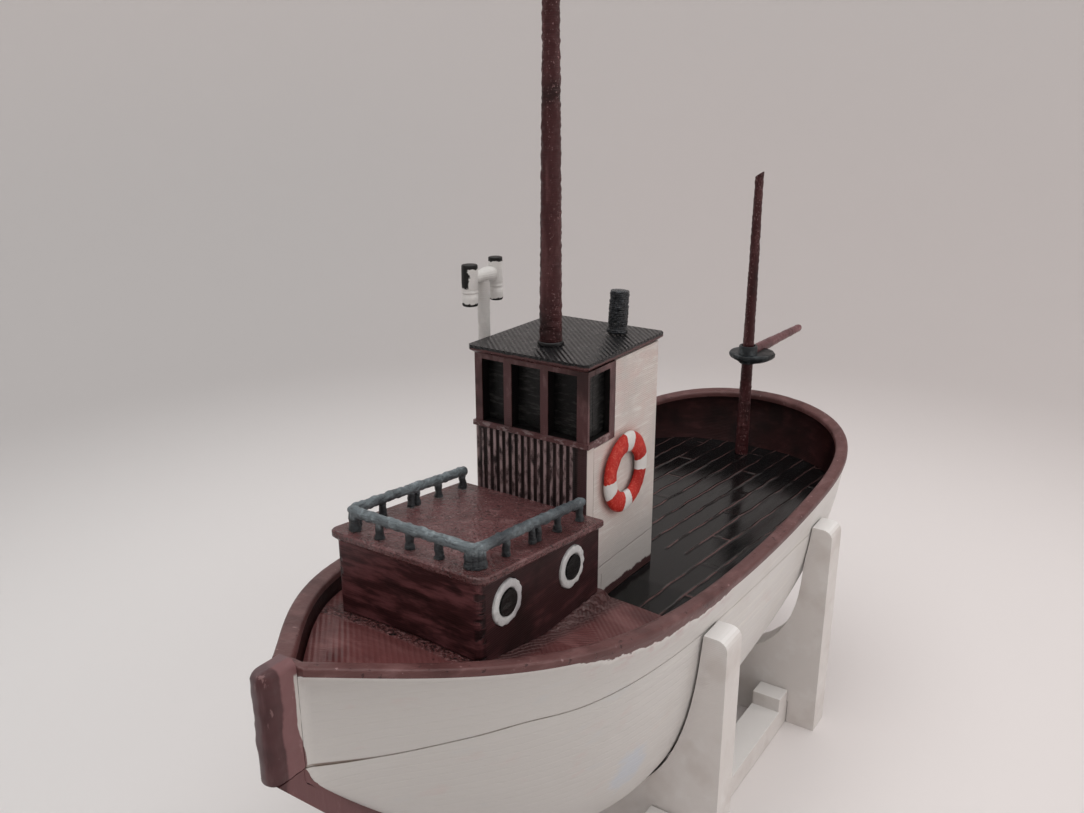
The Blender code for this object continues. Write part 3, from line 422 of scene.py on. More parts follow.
class Paint:
    """A painted surface built of nodes, in millimetres of the object's own space."""

    def __init__(self, name):
        self.material = bpy.data.materials.new(name)
        self.material.use_nodes = True
        self.tree = self.material.node_tree
        self.place = self.vector("SCALE", self.node("ShaderNodeTexCoord").outputs["Object"], Scale=1 / MM)
        apart = self.node("ShaderNodeSeparateXYZ", Vector=self.place)
        self.x, self.y, self.z = (Field(self, socket) for socket in apart.outputs)
        self.colour = self.rough = self.height = None

    def node(self, kind, **inputs):
        made = self.tree.nodes.new(kind)
        for name, value in inputs.items():
            self.feed(made.inputs[name], value)
        return made

    def feed(self, socket, value):
        if isinstance(value, Field):
            value = value.socket
        if isinstance(value, bpy.types.NodeSocket):
            self.tree.links.new(value, socket)
        else:
            socket.default_value = value

    def vector(self, operation, a, b=None, **inputs):
        made = self.node("ShaderNodeVectorMath")
        made.operation = operation
        self.feed(made.inputs[0], a)
        if b is not None:
            self.feed(made.inputs[1], b)
        for name, value in inputs.items():
            self.feed(made.inputs[name], value)
        if operation in ("DOT_PRODUCT", "LENGTH", "DISTANCE"):
            return Field(self, made.outputs["Value"])
        return made.outputs["Vector"]

    def maths(self, operation, a, b=0.0):
        made = self.node("ShaderNodeMath")
        made.operation = operation
        self.feed(made.inputs[0], a)
        self.feed(made.inputs[1], b)
        return Field(self, made.outputs[0])

    def noise(self, stretch, shift=0.0, detail=3.0, rough=0.6):
        """Noise of 0 to 1 with so many bumps per millimetre, along each axis or along all of them."""
        stretch = stretch if isinstance(stretch, tuple) else (stretch,) * 3
        spread = self.vector("MULTIPLY_ADD", self.place, stretch, **{"Vector_002": (shift,) * 3})
        made = self.node("ShaderNodeTexNoise", Vector=spread, Scale=1.0, Detail=detail, Roughness=rough)
        return Field(self, made.outputs["Fac"])

    def ridges(self, direction, pitch, waves):
        """Rounded ridges of 0 to 1 across a direction, one every pitch."""
        along = self.vector("DOT_PRODUCT", self.place, direction)
        along = along + self.noise(0.7, 0.0, 3.0, 0.55) * waves
        return self.maths("SINE", along * (math.tau / pitch)) * 0.5 + 0.5

    def mark(self, name):
        made = self.node("ShaderNodeAttribute")
        made.attribute_name = name
        return Field(self, made.outputs["Fac"])

    def mix(self, factor, a, b):
        made = self.node("ShaderNodeMix")
        made.data_type = "RGBA"
        self.feed(made.inputs["Factor"], factor)
        for socket, value in ((made.inputs[6], a), (made.inputs[7], b)):
            self.feed(socket, (*value, 1.0) if isinstance(value, tuple) else value)
        return made.outputs[2]

    def cover(self, factor, colour):
        """Lays a colour over the ones before it, as strongly as factor says."""
        self.colour = self.mix(factor, self.colour, colour)

    def raise_by(self, value, height):
        """Adds relief: value times height in millimetres."""
        more = value * height
        self.height = more if self.height is None else self.height + more

    def finish(self, specular=0.35):
        shader = self.tree.nodes["Principled BSDF"]
        self.feed(shader.inputs["Base Color"], self.colour)
        self.feed(shader.inputs["Roughness"], self.rough)
        shader.inputs["Specular IOR Level"].default_value = specular
        if self.height is not None:
            bump = self.node("ShaderNodeBump", Height=self.height, Distance=MM, Strength=1.0)
            self.tree.links.new(bump.outputs[0], shader.inputs["Normal"])
        return self.material


# Each brushed paint: its base, light and dark colour, the bumps per millimetre of its strokes along x, y
# and z, the height of the print's ridges under it, its roughness, and the height of its strokes
COATS = {
    "hull_white": (
        (0.7, 0.685, 0.665), (0.75, 0.735, 0.7), (0.66, 0.635, 0.6), (0.12, 0.12, 1.4), 0.004, 0.42, 0.01
    ),
    "house_white": (WARM_WHITE, (0.76, 0.735, 0.7), (0.6, 0.56, 0.53), (0.35, 0.35, 2.4), 0.02, 0.42, 0.055),
    "lamp_caps": (
        (0.74, 0.73, 0.71), (0.8, 0.79, 0.77), (0.56, 0.54, 0.52), (0.8, 0.8, 0.8), 0.008, 0.42, 0.02
    ),
    "lamp_white": (
        (0.68, 0.67, 0.65), (0.78, 0.77, 0.75), (0.55, 0.53, 0.51), (0.8, 0.8, 0.8), 0.015, 0.42, 0.03
    ),
    "porthole_white": (
        (0.62, 0.63, 0.63), (0.72, 0.73, 0.73), (0.44, 0.43, 0.45), (1.4, 1.4, 1.4), 0.0, 0.42, 0.08
    ),
    "stand_white": (
        (0.73, 0.7, 0.675), (0.78, 0.76, 0.74), (0.66, 0.62, 0.59), (0.3, 0.3, 0.3), 0.008, 0.52, 0.008
    ),
    "buoy_bands": (
        (0.5, 0.026, 0.018), (0.64, 0.075, 0.05), (0.38, 0.014, 0.01), (1.6, 1.6, 1.6), 0.0, 0.42, 0.06
    ),
    "rail_oxblood": (
        (0.122, 0.052, 0.05), (0.178, 0.088, 0.085), (0.078, 0.03, 0.029), (0.35, 0.6, 0.9), 0.004, 0.36, 0.05
    ),
    "foredeck_oxblood": (
        (0.128, 0.043, 0.042), (0.196, 0.085, 0.083), (0.072, 0.022, 0.022), (0.7, 0.18, 0.5), 0.0, 0.36, 0.05
    ),
    "trunk_oxblood": (
        (0.03, 0.01, 0.011), (0.072, 0.026, 0.028), (0.016, 0.006, 0.006), (0.3, 0.1, 1.1), 0.008, 0.42, 0.03
    ),
    "trunk_roof_oxblood": (
        (0.14, 0.058, 0.059), (0.225, 0.118, 0.118), (0.088, 0.033, 0.033), (0.8, 0.8, 0.8), 0.0, 0.23, 0.03
    ),
    "stem_oxblood": (
        (0.085, 0.036, 0.038), (0.15, 0.075, 0.078), (0.05, 0.02, 0.021), (0.9, 0.9, 0.12), 0.0, 0.42, 0.03
    ),
    "window_frame_oxblood": (
        (0.1, 0.044, 0.045), (0.18, 0.098, 0.098), (0.044, 0.018, 0.018), (1.1, 1.1, 0.4), 0.008, 0.42, 0.03
    ),
    "planking_oxblood": (
        (0.02, 0.011, 0.011), (0.085, 0.048, 0.048), (0.007, 0.004, 0.004), (2.5, 2.5, 0.35), 0.02, 0.42, 0.04
    ),
    "mast_oxblood": (
        (0.052, 0.014, 0.015), (0.115, 0.045, 0.046), (0.022, 0.007, 0.007),
        (0.9, 0.9, 0.14), 0.012, 0.42, 0.03
    ),
    "boom_oxblood": (
        (0.165, 0.072, 0.076), (0.27, 0.14, 0.146), (0.085, 0.034, 0.036), (0.5, 2.0, 2.0), 0.008, 0.42, 0.03
    ),
    "bulwark_oxblood": (
        (0.022, 0.006, 0.006), (0.042, 0.013, 0.013), (0.01, 0.003, 0.003), (0.2, 0.4, 1.2), 0.008, 0.42, 0.03
    ),
    "deck_planks_black": (
        (0.0042, 0.0042, 0.0044), (0.008, 0.008, 0.0084), (0.003, 0.003, 0.0032),
        (0.1, 0.6, 0.6), 0.0, 0.15, 0.004
    ),
    "roof_black": (BLACK, (0.018, 0.018, 0.019), (0.006, 0.006, 0.007), (0.4, 0.4, 0.4), 0.0, 0.28, 0.012),
    # The pane's light colour, in tall streaks, stands in for a painted vertical sheen on the glass.
    "pane_black": (
        (0.005, 0.005, 0.0052), (0.04, 0.04, 0.038), (0.002, 0.002, 0.002), (0.7, 0.7, 3.6), 0.0, 0.3, 0.05
    ),
    "black_brushed": (BLACK, (0.022, 0.022, 0.023), (0.006, 0.006, 0.006), (0.8, 0.8, 0.8), 0.01, 0.38, 0.03),
    "railing_grey": (
        (0.15, 0.18, 0.194), (0.275, 0.325, 0.345), (0.055, 0.066, 0.074), (1.6, 1.6, 1.6), 0.01, 0.38, 0.1
    ),
    "chimney_grey": (
        (0.013, 0.016, 0.021), (0.075, 0.088, 0.102), (0.006, 0.007, 0.009), (2.8, 2.8, 1.8), 0.03, 0.26, 0.16
    ),
    "saddle_grey": (
        (0.02, 0.024, 0.027), (0.085, 0.098, 0.104), (0.008, 0.009, 0.01), (0.8, 0.8, 0.8), 0.01, 0.36, 0.08
    ),
}


def brushed(coat, name=None, cloud=1.0):
    """Brush paint over a print: streaks along the strokes, blotches, and the print's level ridges."""
    base, light, dark, strokes, layers, roughness, relief = COATS[coat]
    paint = Paint(name or coat)
    streak = paint.noise(strokes, 0.0, 4.0)
    fine = paint.noise(tuple(FINER * stroke for stroke in strokes), 7.0)
    blotch = paint.noise(0.22, 3.0, 3.0, 0.5)
    paint.colour = paint.mix(streak.step(0.48, 0.72), base, light)
    paint.cover(blotch.step(0.52, 0.30) * cloud, dark)
    if layers:
        paint.raise_by(paint.ridges((0.0, 0.0, 1.0), LAYER, 0.10), layers)
    paint.raise_by(streak, relief)
    paint.raise_by(fine, relief * 0.5)
    paint.rough = fine * 0.22 + (roughness - 0.1)
    return paint


def lap_edge(paint):
    """How far a point lies ahead of the edge where the stem's paint laps over the hull."""
    return paint.x - STEM_LAP_X - paint.z.step(31.0, 34.2) * STEM_LAP_SHIFT


def hull_paint(name, topsides):
    """White over the hull: faint strokes, smears of grey and blue, the rail's red where it ran over, painted
    shade greying it towards the bow, and a painted highlight just under the rail.
    """
    paint = brushed("hull_white", name, cloud=0.5)
    # Painted shade: the white greys towards the bow, where less light falls on the hull.
    paint.cover(paint.x.step(8.0, 30.0) * 0.85, (0.575, 0.562, 0.540))
    smear = paint.noise((0.10, 0.2, 0.35), 11.0, 4.0).step(0.60, 0.74)
    paint.cover(smear * 0.22, (0.50, 0.56, 0.62))
    blush = paint.noise((0.3, 0.3, 0.6), 21.0, 3.0, 0.5).step(0.60, 0.78)
    paint.cover(blush * 0.22, (0.62, 0.45, 0.43))
    from_blue = paint.vector("MULTIPLY", paint.vector("SUBTRACT", paint.place, BLUE_SMEAR), (0.28, 0.2, 0.22))
    blue = paint.vector("LENGTH", from_blue) + paint.noise((0.5, 0.5, 0.7), 71.0, 4.0, 0.65)
    paint.cover(blue.step(1.25, 0.75) * 0.55, (0.53, 0.60, 0.70))
    if topsides:
        below_rail = paint.mark("below")
        drip = paint.x.step(33.0, 27.0) * paint.x.step(4.0, 14.0)
        ragged = paint.noise((0.8, 0.8, 1.2), 31.0, 4.0, 0.65) * (drip * 1.25 + 0.30)
        rubbed = paint.noise((0.45, 0.45, 0.9), 73.0, 4.0).step(0.46, 0.64)
        rubbed = rubbed * (below_rail.step(3.2, 0.4) * drip)
        paint.cover(rubbed * 0.6, (0.56, 0.40, 0.40))
        run = (below_rail - ragged).step(0.10, 0.0)
        paint.cover(run, (0.135, 0.060, 0.058))
        # Painted highlight: a lighter line along the hull just under the rail's edge.
        under = (below_rail - ragged).step(0.55, 0.10)
        paint.cover((under - run) * 0.5, (0.84, 0.82, 0.80))
        paint.cover((lap_edge(paint) + ragged * 0.5).step(0.05, 0.13), (0.150, 0.070, 0.070))
        joint = (paint.mark("seam") - paint.x.step(43.5, 47.5) * 0.13).step(0.15, 0.05)
    else:
        joint = paint.mark("seam").step(0.10, 0.03)
    strength = paint.x.step(5.0, 48.0) + paint.x.step(44.0, 46.0) * 0.9
    broken = paint.noise(0.35, 87.0).step(0.40, 0.56)
    strength = strength * (broken * 0.5 + 0.5)
    paint.cover(joint * (strength * 0.45 + 0.12), (0.20, 0.155, 0.125))
    paint.raise_by(paint.ridges((0.0514, 0.0, -1.0), 0.8, 0.3).step(0.80, 1.0), -0.012)
    return paint.finish(0.45)


def deck_paint():
    """Black planks with the red undercoat along their seams, fainter towards the stern."""
    paint = brushed("deck_planks_black")
    worn = paint.noise((0.22, 0.5, 0.5), 5.0).step(0.40, 0.54)
    undercoat = paint.mark("ridge").step(0.20, 0.9) * (worn * 0.58 + 0.06)
    paint.cover(undercoat * (1.0 - paint.x.step(-8.0, -26.0) * 0.45), (0.150, 0.078, 0.075))
    return paint.finish(0.22)


def foredeck_paint():
    """Oxblood over the print's two directions of lines, rough marks near the trunk, and painted shade with
    painted glints along the foot of the trunk's sides.
    """
    paint = brushed("foredeck_oxblood")
    along = paint.ridges(PRINT_ALONG, 0.44, 0.06)
    across = paint.ridges(PRINT_ACROSS, 0.44, 0.06)
    side = paint.noise(0.12, 9.0, 2.0, 0.5).step(0.46, 0.52)
    lines = along * side + across * (1.0 - side)
    paint.raise_by(lines, 0.034)
    paint.cover(lines.step(0.7, 1.0) * 0.16, (0.20, 0.085, 0.085))
    # Painted shade darkens the cove at the foot of the trunk's sides, and painted glints lighten its ridges,
    # which are raised as relief too.
    cove = abs(paint.y).step(9.4, 8.2) * paint.x.step(TRUNK_FRONT + 0.1, TRUNK_FRONT - 0.9)
    cove_glint_ridges = paint.ridges((0.30, 0.95, 0.0), 0.42, 0.9).step(0.45, 0.95)
    paint.cover(cove * 0.75, (0.045, 0.019, 0.019))
    paint.cover(cove * cove_glint_ridges * 0.45, (0.170, 0.100, 0.098))
    paint.raise_by(cove * cove_glint_ridges, 0.06)
    ahead = paint.x.step(TRUNK_FRONT - 0.2, TRUNK_FRONT + 0.1)
    near = paint.x.step(38.2, 37.5) * ahead
    grains = paint.noise(3.4, 17.0, 2.0)
    paint.cover(near * grains.step(0.50, 0.42) * 0.85, (0.014, 0.008, 0.008))
    paint.cover(near * grains.step(0.56, 0.64) * 0.55, (0.300, 0.190, 0.190))
    paint.raise_by(near * grains, 0.35)
    holes = paint.noise((0.7, 1.2, 1.2), 27.0, 2.0, 0.5).step(0.67, 0.69)
    paint.cover(holes * paint.x.step(40.0, 38.0) * ahead, (0.008, 0.005, 0.005))
    return paint.finish(0.32)


def trunk_paint():
    """Dark oxblood dragged on along the walls, redder on the front, with black nicks down its corners."""
    paint = brushed("trunk_oxblood")
    streaks = paint.noise((0.2, 0.22, 1.1), 12.0, 4.0, 0.62).step(0.42, 0.66)
    blots = paint.noise((0.15, 0.16, 0.45), 14.0, 4.0).step(0.52, 0.66)
    red = paint.mix(streaks, (0.046, 0.014, 0.015), (0.160, 0.058, 0.062))
    red = paint.mix(blots * 0.7, red, (0.016, 0.005, 0.005))
    paint.cover(paint.x.step(TRUNK_FRONT - 0.5, TRUNK_FRONT - 0.1), red)
    corner = (paint.x - TRUNK_FRONT + (abs(paint.y) - TRUNK_HALF)).step(-0.75, -0.45)
    nicks = corner * paint.noise((0.4, 0.4, 1.5), 16.0).step(0.50, 0.56)
    paint.cover(nicks * 0.85, (0.010, 0.005, 0.005))
    paint.raise_by(nicks, -0.10)
    return paint.finish(0.22)


def roof_paint():
    """Satin black over 45 degree print lines, and red under the edge."""
    paint = brushed("roof_black")
    top = paint.z.step(ROOF_TOP - 0.2, ROOF_TOP - 0.05)
    paint.raise_by(paint.ridges(PRINT_ACROSS, 0.43, 0.03) * top, 0.055)
    ragged = paint.noise((0.9, 0.9, 1.5), 8.0) * 0.30
    paint.cover((paint.z + ragged).step(ROOF_TOP - 0.08, ROOF_TOP - 0.16), (0.085, 0.036, 0.036))
    return paint.finish(0.32)


def stem_paint():
    """Oxblood on stem and keel, greyish on the nose, a painted highlight on its sides behind it, and white at
    its back.
    """
    paint = brushed("stem_oxblood")
    blot = paint.noise((0.6, 0.6, 0.35), 51.0) * 1.1
    # Painted highlight: the stem's sides behind the nose are lightened.
    paint.cover((paint.x + blot).step(51.35, 51.05) * 0.75, (0.235, 0.115, 0.118))
    side = paint.y + (blot - 0.55) * 0.6
    nose = side.step(0.35, 0.10) * side.step(-0.75, -0.45)
    paint.cover(nose * 0.6, (0.150, 0.108, 0.114))
    scrape = paint.noise((1.6, 1.6, 0.5), 53.0, 4.0, 0.65).step(0.62, 0.70)
    paint.cover(scrape * 0.5, (0.330, 0.200, 0.195))
    forefoot = paint.z.step(STEM_Z[0] + 0.05, STEM_Z[0] - 0.15)
    paint.cover(forefoot * 0.35, (0.070, 0.026, 0.027))
    cheeks = paint.z.step(31.2, 31.8) * paint.z.step(38.4, 38.1) * abs(paint.y).step(0.80, 0.88)
    paint.cover((lap_edge(paint) + blot * 0.3).step(0.13, 0.05) * cheeks, (0.56, 0.535, 0.51))
    return paint.finish(0.25)


def house_paint():
    """White strokes, a pink blush, painted shade low on the sides, a halo round the lifebuoy, a crease
    darkened with painted shade, and a red foot.
    """
    paint = brushed("house_white")
    stroke = paint.noise((0.25, 0.25, 2.2), 15.0).step(0.60, 0.72)
    paint.cover(stroke * 0.45, (0.56, 0.47, 0.44))
    blush = paint.noise((0.28, 0.28, 0.5), 23.0, 3.0, 0.55).step(0.44, 0.68) * 0.38
    paint.cover(blush * paint.z.step(43.0, 47.0), (0.66, 0.48, 0.45))
    # Painted shade: the sides darken towards the deck.
    paint.cover(paint.z.step(39.0, 33.0) * 0.75, (0.455, 0.445, 0.430))
    from_buoy = paint.vector("DISTANCE", paint.place, BUOY_PLACE)
    halo = from_buoy.step(4.9, 3.9) * from_buoy.step(2.4, 3.4)
    paint.cover(halo * 0.45, (0.60, 0.33, 0.29))
    # The crease is a groove in the relief, and its line is darkened with painted shade.
    crease = abs(paint.z + paint.noise(0.5, 61.0, 2.0, 0.5) * 0.25 - HOUSE_CREASE_Z).step(0.09, 0.03)
    paint.cover(crease * 0.5, (0.24, 0.20, 0.19))
    paint.raise_by(crease, -0.05)
    foot = paint.z - paint.x * 0.030 - paint.noise(1.2, 4.0) * 0.9
    paint.cover(foot.step(30.15, 29.95), (0.050, 0.018, 0.018))
    return paint.finish(0.45)


def window_frame_paint():
    """Oxblood on the frames' faces, black inside their openings, and painted highlights speckled along the
    sill.
    """
    paint = brushed("window_frame_oxblood")
    # Painted highlight: light specks along the top of the sill.
    scrape = paint.noise((0.9, 0.9, 2.0), 19.0, 4.0, 0.65).step(0.50, 0.62)
    paint.cover(paint.z.step(SILL_TOP, SILL_TOP - 0.2) * scrape * 0.6, (0.38, 0.30, 0.30))
    ragged = paint.noise(1.4, 29.0) * 0.16
    behind = (paint.x + ragged).step(18.78, 18.70)
    within = (abs(paint.y) - ragged).step(6.10, 6.02)
    paint.cover(behind * within, (0.006, 0.005, 0.005))
    return paint.finish()


def trunk_roof_paint():
    """Glossy oxblood over rough print lines, with dark pits."""
    paint = brushed("trunk_roof_oxblood")
    top = (paint.z - paint.x * TRUNK_ROOF_SLOPE).step(37.75, 37.86)
    paint.raise_by(paint.ridges(PRINT_ACROSS, 0.43, 0.05) * top, 0.012)
    grains = paint.noise(4.5, 37.0, 2.0)
    paint.raise_by(grains, 0.10)
    paint.cover(grains.step(0.46, 0.38) * 0.5, (0.040, 0.016, 0.016))
    pits = paint.noise(2.4, 17.0, 2.0, 0.5).step(0.60, 0.68)
    paint.cover(pits * 0.6, (0.020, 0.010, 0.010))
    paint.raise_by(pits, -0.05)
    paint.raise_by(paint.noise(1.5, 33.0, 2.0, 0.5), 0.12)
    return paint.finish(0.5)


def ribbed_paint():
    """Dark planking whose proud ribs are lightened by a painted highlight, between a red strip and the white
    sides.
    """
    paint = brushed("planking_oxblood")
    # Painted highlight on the proud faces of the ribs, broken up by noise.
    rib_highlight = paint.noise((1.6, 1.6, 0.7), 13.0, 4.0, 0.65).step(0.34, 0.60)
    paint.cover(paint.x.step(18.66, 18.745) * rib_highlight, (0.40, 0.290, 0.292))
    paint.cover(paint.y.step(5.00, 5.10), (0.060, 0.026, 0.027))
    paint.cover(abs(paint.y).step(6.10, 6.14), WARM_WHITE)
    return paint.finish(0.5)


def stand_paint():
    """Bare white print: level ridges, a painted highlight on faces that point up, and a rough patch low on
    the front frame.
    """
    paint = brushed("stand_white")
    # Painted highlight: faces that point up are lightened.
    normal = paint.node("ShaderNodeNewGeometry").outputs["Normal"]
    upward = Field(paint, paint.node("ShaderNodeSeparateXYZ", Vector=normal).outputs["Z"])
    paint.cover(upward.step(0.5, 0.9) * 0.9, (0.90, 0.89, 0.875))
    low = paint.z.step(4.6, 1.5) * paint.y.step(14.0, 16.0)
    hatch = paint.ridges((0.0, 0.80, 0.6), 0.5, 0.5).step(0.55, 0.85)
    patch = low * paint.x.step(12.5, 13.2) * hatch
    paint.cover(patch * 0.55, (0.16, 0.14, 0.13))
    paint.raise_by(patch, -0.08)
    return paint.finish(0.4)


def buoy_paint():
    """Red-orange ring with four white bands."""
    paint = brushed("buoy_bands")
    hairs = paint.noise(5.0, 79.0, 2.0)
    paint.cover(hairs.step(0.55, 0.68) * 0.5, (0.72, 0.16, 0.11))
    paint.raise_by(hairs, 0.06)
    band = paint.mark("band") + paint.noise(2.6, 2.0, 4.0, 0.7) * 0.62
    paint.cover(band.step(0.80, 0.86), (0.72, 0.71, 0.69))
    return paint.finish(0.2)


def rail_paint():
    """Oxblood along the rail, with small pits and pale rubbed spots."""
    paint = brushed("rail_oxblood")
    spots = paint.noise(1.6, 77.0)
    paint.cover(spots.step(0.66, 0.72) * 0.6, (0.380, 0.250, 0.250))
    pits = spots.step(0.36, 0.31)
    paint.cover(pits * 0.6, (0.030, 0.012, 0.012))
    paint.raise_by(pits, -0.05)
    return paint.finish()


def lamp_paint(name, x, foot, top, side):
    """White with a black foot and top, and black dragged down the outer side from the height side."""
    paint = brushed("lamp_caps", name)
    uneven = (paint.noise(1.8, 6.0) - 0.5) * 0.7
    level = paint.z + uneven
    ends = paint.maths("MAXIMUM", level.step(top, top + 0.08), level.step(foot + 0.08, foot))
    outward = paint.vector("DOT_PRODUCT", paint.vector("SUBTRACT", paint.place, (x, LAMP_Y, 0.0)), PHOTO_LEFT)
    outer = (outward + uneven * 1.6).step(-0.02, 0.12) * level.step(side, side + 0.1)
    paint.cover(paint.maths("MAXIMUM", ends, outer), (0.007, 0.0065, 0.0065))
    return paint.finish(0.3)


def railing_paint():
    """Blue grey, brushed along the rail, with painted shade on its posts below the rail."""
    paint = brushed("railing_grey")
    height = paint.z - TRUNK_ROOF_Z - (paint.x - TRUNK_ROOF_FROM_X) * TRUNK_ROOF_SLOPE
    height = height + paint.noise((1.5, 1.5, 0.8), 83.0) * 0.8
    fibres = paint.noise((1.6, 1.6, 5.0), 85.0)
    paint.raise_by(fibres, 0.16)
    paint.cover(fibres.step(0.46, 0.36) * 0.55, (0.045, 0.052, 0.058))
    # Painted shade: the posts darken below the rail.
    paint.cover(height.step(1.85, 1.45) * 0.82, (0.020, 0.022, 0.025))
    return paint.finish()


def mast_paint():
    """Oxblood with painted highlights: pale flecks in streaks along the pole."""
    paint = brushed("mast_oxblood")
    # Painted highlight: pale flecks gathered into streaks along the pole, a little raised.
    highlight_fleck = paint.noise((5.0, 5.0, 3.4), 41.0, 3.0, 0.65).step(0.58, 0.68)
    highlight_fleck = highlight_fleck * paint.noise((0.6, 0.6, 0.10), 43.0, 2.0, 0.5).step(0.36, 0.54)
    paint.cover(highlight_fleck * 0.75, (0.350, 0.200, 0.200))
    paint.raise_by(highlight_fleck, 0.03)
    return paint.finish(0.25)


HOUSE = house_paint()
RIBS = ribbed_paint()
HULL_TOP = hull_paint("hull_white_topsides", True)
HULL_LOW = hull_paint("hull_white_lower", False)
RAIL = rail_paint()
INNER = brushed("bulwark_oxblood").finish(0.15)
TRUNK = trunk_paint()
TRUNK_TOP = trunk_roof_paint()
MAST = mast_paint()
BOOM = brushed("boom_oxblood").finish(0.25)
STEM = stem_paint()
WINDOW_FRAME = window_frame_paint()
PANE = brushed("pane_black").finish(0.25)
GREY = railing_paint()
IRON = brushed("chimney_grey").finish(0.5)
SADDLE = brushed("saddle_grey").finish(0.25)
BLACK_PAINT = brushed("black_brushed").finish()
PORT_WHITE = brushed("porthole_white").finish()
LAMP_WHITE = brushed("lamp_white").finish()


# The hull


def make_hull():
    """The lower hull and the topsides, whose bulwark is painted dark inside."""
    bottom = KEEL_TOP + 0.05
    loops = []
    for i in range(43):
        share = (i / 44) ** 1.5
        loops.append(level_loop(lambda x, s=share: bottom + (seam(x) - GAP / 2 - bottom) * s))
    for drop, skin in ((2 * SEAM_CHAMFER, 0.0), (0.0, SEAM_CHAMFER)):
        loops.append(level_loop(lambda x, d=drop: seam(x) - GAP / 2 - d, skin))
    lower = piece("lower_hull", ring(loops, closed=False), HULL_LOW, "boat", ("hull_lower",))
    mark(lower, "seam", [seam(x) - z for loop in loops for x, _, z in loop])

    def loop(share, skin):
        def level(x):
            low = seam(x) + GAP / 2
            return low + (sheer(x) - RAIL_THICKNESS - GAP / 2 - low) * share

        return level_loop(level, skin)

    shares = even(0.0, 1.0, 16)
    outer = [loop(0.0, SEAM_CHAMFER), loop(0.03, 0.0)] + [loop(share, 0.0) for share in shares[1:]]
    inner = [loop(share, WALL) for share in reversed(shares)]
    columns = list(zip(*outer, *inner))
    top = piece("bulwark_and_topsides", ring(columns), [HULL_TOP, INNER], "boat", ("topsides",))
    for face in top.data.polygons:
        if min(vertex % len(columns[0]) for vertex in face.vertices) >= len(outer) - 1:
            face.material_index = 1
    mark(top, "seam", [z - seam(x) for column in columns for x, _, z in column])
    mark(top, "below", [sheer(x) - RAIL_THICKNESS - z for column in columns for x, _, z in column])


def make_rail():
    """The rail cap, its edges rounded and a little uneven."""
    steps = 190
    edge = [Vector((x, plan(x, 0))) for x in bunched(STEM_BACK_X - GAP, STERN_X, steps)]
    profile = (
        (0.0, RAIL_THICKNESS), (0.0, 0.42), (0.02, 0.20), (0.10, 0.06), (0.25, 0.0), (0.60, 0.0), (0.95, 0.0),
        (1.28, 0.01), (1.42, 0.08), (1.49, 0.22), (RAIL_WIDTH, 0.45), (RAIL_WIDTH, RAIL_THICKNESS),
    )
    columns = []
    for i, point in enumerate(edge):
        before = edge[i - 1] if i else point
        after = edge[i + 1] if i < steps else Vector((point.x, -edge[i - 1].y))
        along = (after - before).normalized()
        normal = Vector((-along.y, along.x)) if i < steps else Vector((1, 0))
        column = []
        for inset, drop in profile:
            place = point + normal * inset
            ripple = 0.03 * waver(place.x, place.y, drop, 1.3, 3.0) if drop < RAIL_THICKNESS else 0.0
            column.append((place.x, max(0.0, place.y), sheer(place.x) - drop - abs(ripple)))
        columns.append(column)
    mirrored = [[(x, -y, z) for x, y, z in column] for column in reversed(columns[:-1])]
    piece("rail", ring(columns + mirrored), RAIL, "boat", ("rail_cap",), 50.0)


# Steps of the decks' grids, along and across
DECK_GRID = (260, 300)
FOREDECK_GRID = (150, 140)


def deck_slab(stations, across, top, low):
    """A slab: a fine grid on top, whose points come first, and a plain bottom."""
    points, faces = [], []
    wide = len(across)
    rows = len(stations)
    for x in stations:
        half = breadth(x, top(x, HALF_BEAM), WALL + DECK_CLEARANCE)
        for share in across:
            points.append((x, share * half, top(x, share * half)))
    base = len(points)
    for x in stations:
        level = low(x)
        half = breadth(x, level, WALL + DECK_CLEARANCE)
        points += [(x, across[0] * half, level), (x, across[-1] * half, level)]
    for k in range(rows - 1):
        row = k * wide
        below = base + 2 * k
        for a in range(row, row + wide - 1):
            faces.append((a, a + 1, a + wide + 1, a + wide))
        faces.append((below, below + 2, below + 3, below + 1))
        faces.append((row, row + wide, below + 2, below))
        faces.append((row + wide - 1, row + 2 * wide - 1, below + 3, below + 1))
    for k in (0, rows - 1):
        row = k * wide
        faces.append((*range(row, row + wide), base + 2 * k + 1, base + 2 * k))
    return points, faces


def plank_ridge(x, y):
    """1 on the middle of a seam or butt between planks, falling to 0 on the plank."""
    across = y - PLANK_OFFSET - PLANK_DRIFT * (DECK_STEP_X - x) + 0.12 * waver(x, y, 0.0, 2.6, 4.0)
    row = math.floor(across / PLANK_PITCH)
    beside = min(across - row * PLANK_PITCH, (row + 1) * PLANK_PITCH - across)
    start = (row * 7.3) % PLANK_LENGTH
    along = (x - 3.0 - start) % PLANK_LENGTH
    butt = min(along, PLANK_LENGTH - along)
    if x > 2.0 and abs(y) < 8.7:
        return 0.0
    return max(1 - ease(beside, 0.0, SEAM_HALF * 1.6), 1 - ease(butt, 0.0, SEAM_HALF * 1.6))


